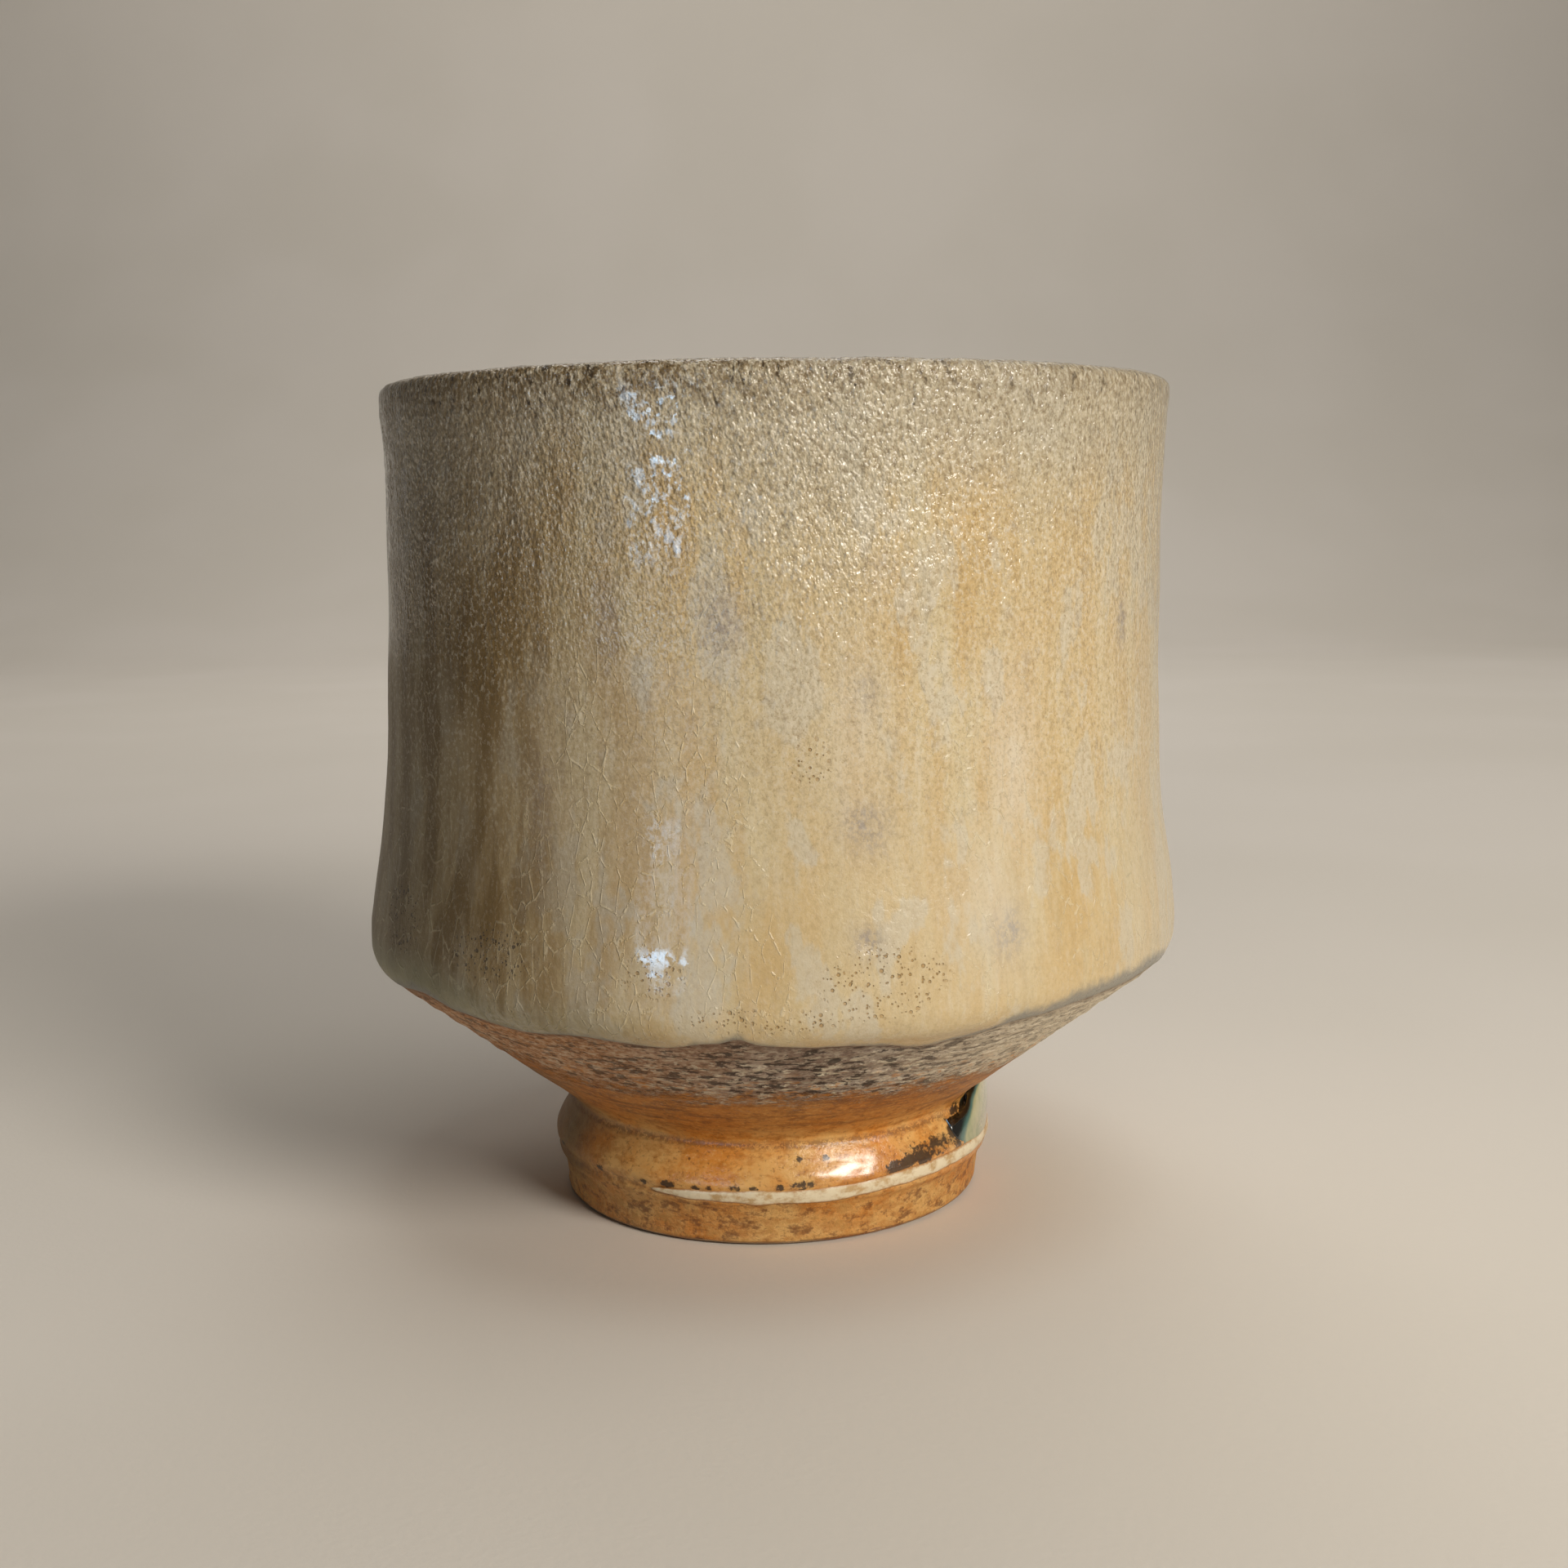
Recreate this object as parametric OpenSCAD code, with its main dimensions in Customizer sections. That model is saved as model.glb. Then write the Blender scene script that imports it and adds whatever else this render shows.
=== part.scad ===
// Stoneware tea bowl on a thrown foot: two pieces of clay, the slip that joins
// them, and the coats of glaze, ash and flashing that were melted onto them.
// Millimetres, +Z up. The origin is the middle of the flat that the foot stands on.
// The front faces -Y. Azimuths run from the front, positive towards +X.

/* [Bowl] */
// Height of the clay from the table to the top of the lip
bowl_h = 94.5; // [88:0.5:110]
// Outer diameter of the clay at the lip
lip_d = 89.3; // [84:0.1:98]
// Outer diameter of the clay at the waist, its narrowest place
waist_d = 88.2; // [80:0.1:92]
// Height of the waist above the table
waist_z = 80; // [70:0.5:85]
// Outer diameter of the clay at the shoulder, its widest place
shoulder_d = 93.8; // [90:0.1:104]
// Height of the shoulder's corner above the table
shoulder_z = 30.4; // [27:0.1:36]
// Radius that rounds the shoulder's corner
shoulder_round = 3; // [1:0.1:5]
// Thickness of the wall at the lip
lip_t = 3.2; // [2.4:0.1:5]
// Thickness of the wall at the waist
wall_t = 4.2; // [3:0.1:6]
// Height at which the inside starts to round in to the floor
bend_z = 42; // [38:0.5:52]
// Thickness of the floor in the middle
floor_t = 6; // [4:0.1:9]

/* [Foot] */
// Height of the foot ring
foot_h = 11.8; // [10:0.1:14]
// Outer diameter of the foot ring at its fullest place
foot_d = 52.3; // [50:0.1:60]
// Height of that fullest place above the table
full_z = 6.8; // [5.5:0.1:8]
// Diameter of the crease where the bowl sits on the foot ring
neck_d = 47.2; // [42:0.1:50]
// Outer diameter of the flat that the foot stands on
stand_d = 46.8; // [44:0.1:47.5]
// Width of that flat
stand_w = 4.6; // [3:0.1:6]
// Radius that rounds the foot's outer lower edge
foot_round = 2.2; // [1:0.1:3]
// Diameter of the recess under the bowl, at its roof
recess_d = 33; // [28:0.1:36]
// Thickness of the slip that joins the foot ring to the bowl
slip_t = 0.4; // [0.2:0.1:1]

/* [Coats] */
// Thickness of the outer glaze on the lip
lip_glaze_t = 0.5; // [0.2:0.1:0.8]
// Thickness of the outer glaze at the shoulder, where it has run down
glaze_t = 0.9; // [0.6:0.1:1.6]
// Height of the outer glaze's edge above the shoulder's corner, between the runs
edge_rise = 0.4; // [-2:0.1:1.5]
// Thickness of the liner glaze on the inner wall
liner_t = 0.6; // [0.3:0.1:1]
// Thickness that the liner gains where it has pooled on the floor
pool_t = 0.9; // [0:0.1:2]
// Diameter of that pool
pool_d = 44; // [30:1:60]
// Thickness of the ash and flashing skins
skin_t = 0.35; // [0.2:0.05:0.5]
// Height of the ash band, from the shoulder's corner down
ash_h = 10.8; // [7:0.1:13]
// Height of the bare edge that the flashing leaves at the foot's base
bare_h = 0.9; // [0.4:0.1:1.5]

/* [Foot line] */
// Width of the groove round the foot
line_w = 1.5; // [1:0.1:2.5]
// Height of the groove's middle below the foot's fullest place
line_drop = 0.6; // [0:0.1:1.5]
// Height of the white glaze above the skin beside it
line_proud = 0.15; // [0.05:0.05:0.4]
// Azimuth at which the white glaze starts
line_from = -31; // [-60:1:0]
// Azimuth at which the white glaze ends
line_to = 150; // [90:1:200]

/* [Green run] */
// Azimuth at which the pool of green glass starts
run_from = 57; // [40:1:70]
// Azimuth at which the pool of green glass ends
run_to = 124; // [90:1:140]
// Height of the pool above the crease, on the slope
run_rise = 2.6; // [1:0.1:4]
// Swell of the pool beyond a straight fill
run_swell = 0.5; // [0.1:0.1:1]

/* [Hidden] */
$fn = 120;

// Radii and heights that the pieces share
lip_r = lip_d/2;
waist_r = waist_d/2;
shoulder_r = shoulder_d/2;
neck_r = neck_d/2;
full_r = foot_d/2;
stand_r = stand_d/2;
recess_r = recess_d/2;
under_z = foot_h + slip_t;
floor_z = under_z + floor_t;
inner_r = waist_r - wall_t;
ash_z = shoulder_z - ash_h;
line_z = full_z - line_drop;

// Runs of the outer glaze's lower edge: azimuth, drop in mm and half width in degrees
RUNS = [[-62, 1.2, 9], [-34, 2.6, 10], [-15, 2.8, 8], [8, 2.4, 9], [22, 3.4, 6],
        [74, 1.4, 9], [103, 2.8, 8], [131, 1.8, 11], [160, 3.0, 9], [194, 1.6, 10],
        [226, 2.9, 8], [262, 2.0, 11]];
// Drop that neighbouring runs may add up to
deepest_run = 4.2;
// Lowest place that a run reaches
edge_low_z = shoulder_z + edge_rise - deepest_run;
// Length of coat that is kept under the lowest run before the edge is cut
edge_spare = 0.6;
// Azimuth between two points of the glaze's edge
edge_step = 4;
// Thickness that the liner gains for each millimetre below the crown
liner_taper = 0.05;
// Thickness of the green pool at its rim
pool_rim_t = 0.25;
// Power that draws the green pool's outline between an ellipse and a rectangle
pool_square = 0.5;
// Height on each side of the crease that the flashing bridges
crease_fill = 0.6;
// Shortest step of an outline
least_step = 0.02;

// How far the two ends of each curve hold their direction, as shares of its span
WALL_HOLD = [0.77, 0.56];
LIP_HOLD = [0.15, 0.3];
FOOT_TOP_HOLD = [0.65, 0.6];
FOOT_LOW_HOLD = [0.4, 0.3];
FLOOR_HOLD = [0.62, 0.8];
MOUTH_HOLD = [0.6, 0.2];
POOL_HOLD = [0.35, 0.45];
// Lean of the wall where it meets the shoulder's corner
shoulder_lean = 0.07;
// Share of its flare that the lip has already lost at its upper hold
lip_lean = 0.3;

// Cubic curve from p[0] to p[3] in n steps
function bezier(p, n) =
    [for (i = [0:n])
        let (t = i/n, u = 1 - t)
        u*u*u*p[0] + 3*u*u*t*p[1] + 3*u*t*t*p[2] + t*t*t*p[3]];

// Round stretch about c
function arc(c, r, from, to, n) =
    [for (i = [0:n])
        let (a = from + (to - from)*i/n)
        c + r*[cos(a), sin(a)]];

function tail(list) = [for (i = [1:len(list) - 1]) list[i]];

function flip(list) = [for (i = [len(list) - 1:-1:0]) list[i]];

function unit(v) = v/norm(v);

// Radius of a falling outline at height z
function r_at(curve, z) = lookup(z, [for (p = curve) [p[1], p[0]]]);

// Stretch of a falling outline from height top to height low
function between(curve, top, low) =
    concat([[r_at(curve, top), top]],
           [for (p = curve) if (p[1] < top - least_step && p[1] > low + least_step) p],
           [[r_at(curve, low), low]]);

// Direction that points out of the clay at point i of an outline, straight up on the axis
function outward(curve, i) =
    let (a = curve[max(i - 1, 0)], b = curve[min(i + 1, len(curve) - 1)])
    curve[i][0] == 0 ? [0, 1] : unit([a[1] - b[1], b[0] - a[0]]);

// Outline carried out of the clay by the thickness t of each point
function outset(curve, t) = [for (i = [0:len(curve) - 1]) curve[i] + t[i]*outward(curve, i)];

// The lip's round crown, which the outer and the inner glaze share
lip_c = [lip_r - lip_t/2, bowl_h - lip_t/2];

// Angle of the slope under the shoulder, and the corner's arc on it
slope = atan2(shoulder_z - under_z, shoulder_r - neck_r);
corner_tangent = shoulder_round*tan((90 - slope)/2);
corner_c = [shoulder_r - shoulder_round, shoulder_z + corner_tangent];

// Point of the slope at height z
function on_slope(z) = [neck_r + (z - under_z)/tan(slope), z];

// Wall above the corner: straight down from the waist, then swelling to the shoulder
wall_span = waist_z - corner_c[1];
wall_hold = WALL_HOLD*wall_span;
wall_curve = bezier([[waist_r, waist_z],
                     [waist_r, waist_z - wall_hold[0]],
                     [shoulder_r - shoulder_lean*wall_hold[1], corner_c[1] + wall_hold[1]],
                     [shoulder_r, corner_c[1]]], 28);

// Lip above the waist, flaring out over its last few millimetres
lip_span = lip_c[1] - waist_z;
lip_curve = bezier([[lip_r, lip_c[1]],
                    [lip_r - lip_lean*(lip_r - waist_r), lip_c[1] - LIP_HOLD[0]*lip_span],
                    [waist_r, lip_c[1] - LIP_HOLD[1]*lip_span],
                    [waist_r, waist_z]], 10);

// Outside of the clay from the crown down to the crease
bowl_outside = concat(arc(lip_c, lip_t/2, 90, 0, 8),
                      tail(lip_curve),
                      tail(wall_curve),
                      tail(arc(corner_c, shoulder_round, 0, slope - 90, 6)),
                      [on_slope(edge_low_z - edge_spare),
                       on_slope(under_z + crease_fill),
                       [neck_r, under_z]]);

// Outside of the foot ring from the crease down to the flat that it stands on
foot_top_curve = bezier([[neck_r, foot_h],
                         [neck_r + FOOT_TOP_HOLD[0]*(full_r - neck_r), foot_h],
                         [full_r, full_z + FOOT_TOP_HOLD[1]*(foot_h - full_z)],
                         [full_r, full_z]], 10);
foot_low_curve = bezier([[full_r, full_z],
                         [full_r, full_z - FOOT_LOW_HOLD[0]*(full_z - foot_round)],
                         [stand_r + foot_round, foot_round + FOOT_LOW_HOLD[1]*(full_z - foot_round)],
                         [stand_r + foot_round, foot_round]], 8);
foot_outside = concat(foot_top_curve,
                      tail(foot_low_curve),
                      tail(arc([stand_r, foot_round], foot_round, 0, -90, 8)));

// Inside of the clay from the middle of the floor up to the crown
floor_curve = bezier([[0, floor_z],
                      [FLOOR_HOLD[0]*inner_r, floor_z],
                      [inner_r, bend_z - FLOOR_HOLD[1]*(bend_z - floor_z)],
                      [inner_r, bend_z]], 22);
mouth_span = lip_c[1] - bend_z;
mouth_curve = bezier([[inner_r, bend_z],
                      [inner_r, bend_z + MOUTH_HOLD[0]*mouth_span],
                      [lip_r - lip_t, lip_c[1] - MOUTH_HOLD[1]*mouth_span],
                      [lip_r - lip_t, lip_c[1]]], 12);
bowl_inside = concat(floor_curve, tail(mouth_curve), tail(arc(lip_c, lip_t/2, 180, 90, 8)));

// Whole skin of the bowl, so that both glazes leave the crown at the same place
bowl_skin = concat(bowl_inside, tail(bowl_outside));
crown_i = len(bowl_inside) - 1;
// Point of the skin just under the lowest run of the outer glaze
spare_i = len(bowl_skin) - 3;

// Thickness of the liner, pooled in the middle of the floor
function liner_at(r) = liner_t + pool_t*pow(cos(90*min(1, 2*r/pool_d)), 2);

// Thickness of the outer glaze, which grows from the lip down to the shoulder
function glaze_at(z) =
    lip_glaze_t + (glaze_t - lip_glaze_t)*min(1, (bowl_h - z)/(bowl_h - shoulder_z));

// Coats on the bowl's skin: the liner thins to the lip's thickness at the crown
glaze_out = outset(bowl_skin,
                   [for (i = [0:len(bowl_skin) - 1])
                       let (p = bowl_skin[i])
                       i < crown_i
                           ? min(liner_at(p[0]), lip_glaze_t + liner_taper*(bowl_h - p[1]))
                           : glaze_at(p[1])]);

// Skin of ash and flashing, from the shoulder's corner over the crease and down the foot
skin_path = concat(bowl_outside, foot_outside);
ash_path = between(skin_path, corner_c[1], ash_z);
flash_path = between(skin_path, ash_z, bare_h);

// Outside of that skin, which bridges the crease
function skin_out(path) =
    let (out = outset(path, [for (p = path) skin_t]))
    [for (i = [0:len(path) - 1])
        if (path[i][1] >= under_z + crease_fill || path[i][1] <= foot_h - crease_fill) out[i]];

function skin_of(path) = concat(path, flip(skin_out(path)));

// Middle of the groove's round, on the outside of the skin
line_c = [r_at(foot_outside, line_z) + skin_t, line_z];

// Height of the outer glaze's edge at azimuth a
function turn_to(a) = ((a % 360) + 540) % 360 - 180;
function edge_z(a) =
    max(edge_low_z,
        shoulder_z + edge_rise
        - [for (run = RUNS) run[1]*exp(-pow(turn_to(a - run[0])/run[2], 2))]
          * [for (run = RUNS) 1]);

// Everything under the glaze's edge on one half of the bowl, front or back
module under_edge_half(from) {
    reach = shoulder_r + 2*glaze_t;
    edge_r = shoulder_r - shoulder_round;
    edge = [for (a = [from:edge_step:from + 180]) [edge_r*sin(a), edge_z(a)]];
    side = sign(edge[0][0]);
    polygon(concat([[side*reach, ash_z], [side*reach, edge[0][1]]],
                   edge,
                   [[-side*reach, edge[len(edge) - 1][1]], [-side*reach, ash_z]]));
}

module under_edge() {
    depth = shoulder_r + 2*glaze_t;
    rotate([90, 0, 0])
        linear_extrude(depth)
            under_edge_half(-90);
    translate([0, depth, 0])
        rotate([90, 0, 0])
            linear_extrude(depth)
                under_edge_half(90);
}

module groove() {
    rotate_extrude()
        translate(line_c)
            circle(d = line_w);
}

// Thrown stoneware bowl
module bowl_body() {
    color("#9c8a74")
        rotate_extrude()
            polygon(concat(bowl_skin, [[0, under_z]]));
}

// Thrown-on foot ring, hollow underneath
module foot_ring() {
    mouth_r = stand_r - stand_w;
    color("#a37a4e")
        difference() {
            rotate_extrude()
                polygon(concat(foot_outside, [[mouth_r, 0], [recess_r, foot_h]]));
            groove();
        }
}

// Slip that joins the two pieces of clay
module luting_slip() {
    color("#7d6650")
        translate([0, 0, foot_h])
            difference() {
                cylinder(h = slip_t, r = neck_r);
                translate([0, 0, -slip_t])
                    cylinder(h = 3*slip_t, r = recess_r);
            }
}

// Cream glaze outside, from the crown down to its running edge
module outer_glaze() {
    kept = [for (i = [crown_i:spare_i]) i];
    color("#d0b88c")
        difference() {
            rotate_extrude()
                polygon(concat([for (i = kept) bowl_skin[i]], flip([for (i = kept) glaze_out[i]])));
            under_edge();
        }
}

// Liner glaze inside, from the crown down to the pool on the floor
module inner_glaze() {
    color("#c8b48c")
        rotate_extrude()
            polygon(concat([for (i = [0:crown_i]) bowl_skin[i]],
                           flip([for (i = [0:crown_i]) glaze_out[i]])));
}

// Dry ash skin on the slope, under the glaze's edge
module ash_band() {
    color("#8b7d72")
        intersection() {
            rotate_extrude()
                polygon(skin_of(ash_path));
            under_edge();
        }
}

// Orange flashing skin from the slope down to the foot's bare edge
module flashing_slip() {
    color("#bc7023")
        difference() {
            rotate_extrude()
                polygon(skin_of(flash_path));
            groove();
        }
}

// White glaze lying in part of the groove
module foot_line() {
    color("#e9dec6")
        rotate([0, 0, line_from - 90])
            rotate_extrude(angle = line_to - line_from)
                intersection() {
                    translate(line_c)
                        circle(d = line_w);
                    translate([0, line_z - line_w])
                        square([line_c[0] + line_proud, 2*line_w]);
                }
}

// Outline of the green pool as seen square on, a flat round drop
module pool_outline(width, top_z, low_z) {
    middle_z = (top_z + low_z)/2;
    polygon([for (a = [0:10:350])
        [width/2*sign(cos(a))*pow(abs(cos(a)), pool_square),
         middle_z + (top_z - low_z)/2*sign(sin(a))*pow(abs(sin(a)), pool_square)]]);
}

// Pool of green glass that fills the crease beside the front
module green_run() {
    top_z = under_z + run_rise;
    low_z = line_z + line_w/2;
    span = top_z - low_z;
    seat = between(skin_out(flash_path), top_z, low_z);
    rim = [pool_rim_t, 0];
    swell = [run_swell, 0];
    first = seat[0] + rim;
    last = seat[len(seat) - 1] + rim;
    fill = bezier([first,
                   first + swell - [0, POOL_HOLD[0]*span],
                   last + swell + [0, POOL_HOLD[1]*span],
                   last], 10);
    sweep = run_to - run_from;
    width = 2*last[0]*sin(sweep/2);
    color("#9ba37f")
        rotate([0, 0, run_from + sweep/2])
            intersection() {
                rotate([0, 0, -90 - sweep])
                    rotate_extrude(angle = 2*sweep)
                        polygon(concat(seat, flip(fill)));
                rotate([90, 0, 0])
                    linear_extrude(2*first[0])
                        pool_outline(width, top_z - pool_rim_t, low_z + pool_rim_t);
            }
}

bowl_body();
foot_ring();
luting_slip();
outer_glaze();
inner_glaze();
ash_band();
flashing_slip();
foot_line();
green_run();
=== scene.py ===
"""Dress a thrown stoneware tea bowl: glaze coats, ash crust, flashed foot, and a plain studio around it."""

import logging
import math
from bisect import bisect_right
from dataclasses import dataclass, field
from enum import Enum
from typing import Callable, Union

import bmesh
import bpy
from mathutils import Matrix, Vector, noise


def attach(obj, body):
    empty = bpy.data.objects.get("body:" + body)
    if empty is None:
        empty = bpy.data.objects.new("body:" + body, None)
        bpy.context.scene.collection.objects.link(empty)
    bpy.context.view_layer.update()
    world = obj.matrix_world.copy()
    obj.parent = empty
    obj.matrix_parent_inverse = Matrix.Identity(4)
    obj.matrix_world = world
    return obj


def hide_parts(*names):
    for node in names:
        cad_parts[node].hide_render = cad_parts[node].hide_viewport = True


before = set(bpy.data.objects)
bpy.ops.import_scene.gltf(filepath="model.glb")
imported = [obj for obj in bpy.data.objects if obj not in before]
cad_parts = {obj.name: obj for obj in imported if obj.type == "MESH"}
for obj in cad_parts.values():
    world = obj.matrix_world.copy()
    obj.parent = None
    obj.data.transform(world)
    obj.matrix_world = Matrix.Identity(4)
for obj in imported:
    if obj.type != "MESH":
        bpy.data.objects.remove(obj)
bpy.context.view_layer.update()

LOG = logging.getLogger("tea_bowl")
MM = 0.001
# Vertices closer than this, in metres, are one.
MERGE = 2e-6
# A point of a path with a smaller radius, in mm, lies on the axis.
ON_AXIS = 1e-9
# The plain column that a section is spun from: its radius, and lean and rise per station, in metres.
COLUMN_R = 0.02
COLUMN_LEAN = 0.00005
COLUMN_RISE = 0.0001
# A full turn is spun in part, and that part is doubled this many times.
DOUBLINGS = 4
# Distances along the outside, in mm, at which the lip and the shoulder lie behind.
PAST_LIP = 10.0
PAST_SHOULDER = 60.0
# Places round the bowl at which the glaze's edge is worked out, per degree.
EDGE_PLACES = 2
Point = tuple[float, float]
Triple = tuple[float, float, float]
Place = Callable[[float, float, float], Vector]


class Slot(Enum):
    """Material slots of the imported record."""

    STONEWARE = "stoneware"
    SLIP = "slip"
    CREAM = "cream_glaze"
    LINER = "liner_glaze"
    ASH = "ash"
    FLASHING = "flashing"
    WHITE = "white_glaze"
    GREEN = "green_glass"


class Mark(Enum):
    """Kinds of fired marks on the outer glaze, one per channel of its marks layer."""

    CLOUD = 0
    STAIN = 1
    PITS = 2


def ramp(x: float, low: float, high: float) -> float:
    """Ease from 0 at low to 1 at high.

    Args:
        x: Where to read it.
        low: Where it leaves 0.
        high: Where it reaches 1; may lie below low.

    Returns:
        The eased share.
    """
    t = min(1.0, max(0.0, (x - low) / (high - low)))
    return t * t * (3 - 2 * t)


def bell(x: float, width: float) -> float:
    """Height of a bell of that half width at x."""
    return math.exp(-((x / width) ** 2))


def turn_to(degrees: float) -> float:
    """The same direction as an azimuth from -180 to 180."""
    return (degrees + 180.0) % 360.0 - 180.0


def around(az: float, r: float) -> Point:
    """How far a place at an azimuth and a radius lies to the right and to the front."""
    a = math.radians(az)
    return r * math.sin(a), r * math.cos(a)


def ripple(x: float, y: float, z: float) -> float:
    """Smooth noise between about -1 and 1."""
    return noise.noise(Vector((x, y, z)))


def bezier(a: Point, b: Point, c: Point, d: Point, n: int = 40) -> list[Point]:
    """Points of a cubic curve.

    Args:
        a: First end.
        b: Handle of the first end.
        c: Handle of the second end.
        d: Second end.
        n: How many stretches.

    Returns:
        n + 1 points from a to d.
    """
    points = []
    for i in range(n + 1):
        t = i / n
        u = 1 - t
        w = (u * u * u, 3 * u * u * t, 3 * u * t * t, t * t * t)
        points.append(tuple(sum(k * p[j] for k, p in zip(w, (a, b, c, d))) for j in (0, 1)))
    return points


def arc(centre: Point, radius: float, start: float, end: float, n: int = 16) -> list[Point]:
    """Points of a round stretch.

    Args:
        centre: Its centre.
        radius: Its radius.
        start: Angle of its first point, in degrees.
        end: Angle of its last point.
        n: How many stretches.

    Returns:
        n + 1 points.
    """
    angles = [math.radians(start + (end - start) * i / n) for i in range(n + 1)]
    return [(centre[0] + radius * math.cos(a), centre[1] + radius * math.sin(a)) for a in angles]


class Path:
    """A profile of the clay as (radius, height) in mm, measured along its own length."""

    fade = 2.0

    def __init__(
        self, corners: list[Point], step: float = 0.15, ease: tuple[float, float, int] = (0, 0, 0),
    ) -> None:
        """Lay the profile out in even steps.

        Args:
            corners: Points it passes through, in order.
            step: Length of one step.
            ease: Heights between which it is smoothed, low and high, and the passes.
        """
        self.points = self._even(corners, step)
        low, high, passes = ease
        for _ in range(passes):
            old = list(self.points)
            for i in range(1, len(old) - 1):
                z = old[i][1]
                if low < z < high:
                    share = ramp(z, low, low + self.fade) * ramp(z, high, high - self.fade) / 4
                    self.points[i] = tuple(
                        here + share * (before - 2 * here + after)
                        for before, here, after in zip(*old[i - 1:i + 2])
                    )
        self.reach = [0.0]
        for p, q in zip(self.points, self.points[1:]):
            self.reach.append(self.reach[-1] + math.dist(p, q))
        self.length = self.reach[-1]
        self.out = [self._outward(i) for i in range(len(self.points))]

    @staticmethod
    def _even(corners: list[Point], step: float) -> list[Point]:
        """The same line with a point at every step.

        Args:
            corners: Points it passes through, in order.
            step: Length of one step.

        Returns:
            The points.
        """
        points = [corners[0]]
        for p, q in zip(corners, corners[1:]):
            n = max(1, round(math.dist(p, q) / step))
            points += [tuple(p[j] + (q[j] - p[j]) * i / n for j in (0, 1)) for i in range(1, n + 1)]
        return points

    def _outward(self, i: int) -> Point:
        """Direction that points out of the clay.

        Args:
            i: Number of the point to read it at.

        Returns:
            The direction's radius and height.
        """
        if self.points[i][0] < ON_AXIS:
            return (0.0, 1.0)
        p, q = self.points[max(i - 2, 0)], self.points[min(i + 2, len(self.points) - 1)]
        size = math.dist(p, q) or 1.0
        return ((p[1] - q[1]) / size, (q[0] - p[0]) / size)

    def at(self, s: float) -> tuple[float, float, float, float]:
        """Radius, height and outward direction at a distance along the path.

        Args:
            s: Distance from its first point.

        Returns:
            Radius, height, and the direction's radius and height.
        """
        s = min(max(s, 0.0), self.length)
        i = min(max(bisect_right(self.reach, s) - 1, 0), len(self.points) - 2)
        span = self.reach[i + 1] - self.reach[i]
        t = (s - self.reach[i]) / span if span else 0.0
        p, q, a, b = self.points[i], self.points[i + 1], self.out[i], self.out[i + 1]
        return tuple(u + (v - u) * t for u, v in zip((*p, *a), (*q, *b)))

    def where(self, z: float, start: float = 0.0) -> float:
        """Distance along a falling path to the first point below a height.

        Args:
            z: The height.
            start: Distance to begin looking at.

        Returns:
            The distance.
        """
        for i in range(1, len(self.points)):
            if self.reach[i] >= start and self.points[i][1] <= z:
                p, q = self.points[i - 1], self.points[i]
                t = (p[1] - z) / (p[1] - q[1]) if p[1] > q[1] else 0.0
                return self.reach[i - 1] + (self.reach[i] - self.reach[i - 1]) * min(max(t, 0.0), 1.0)
        return self.length


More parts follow.
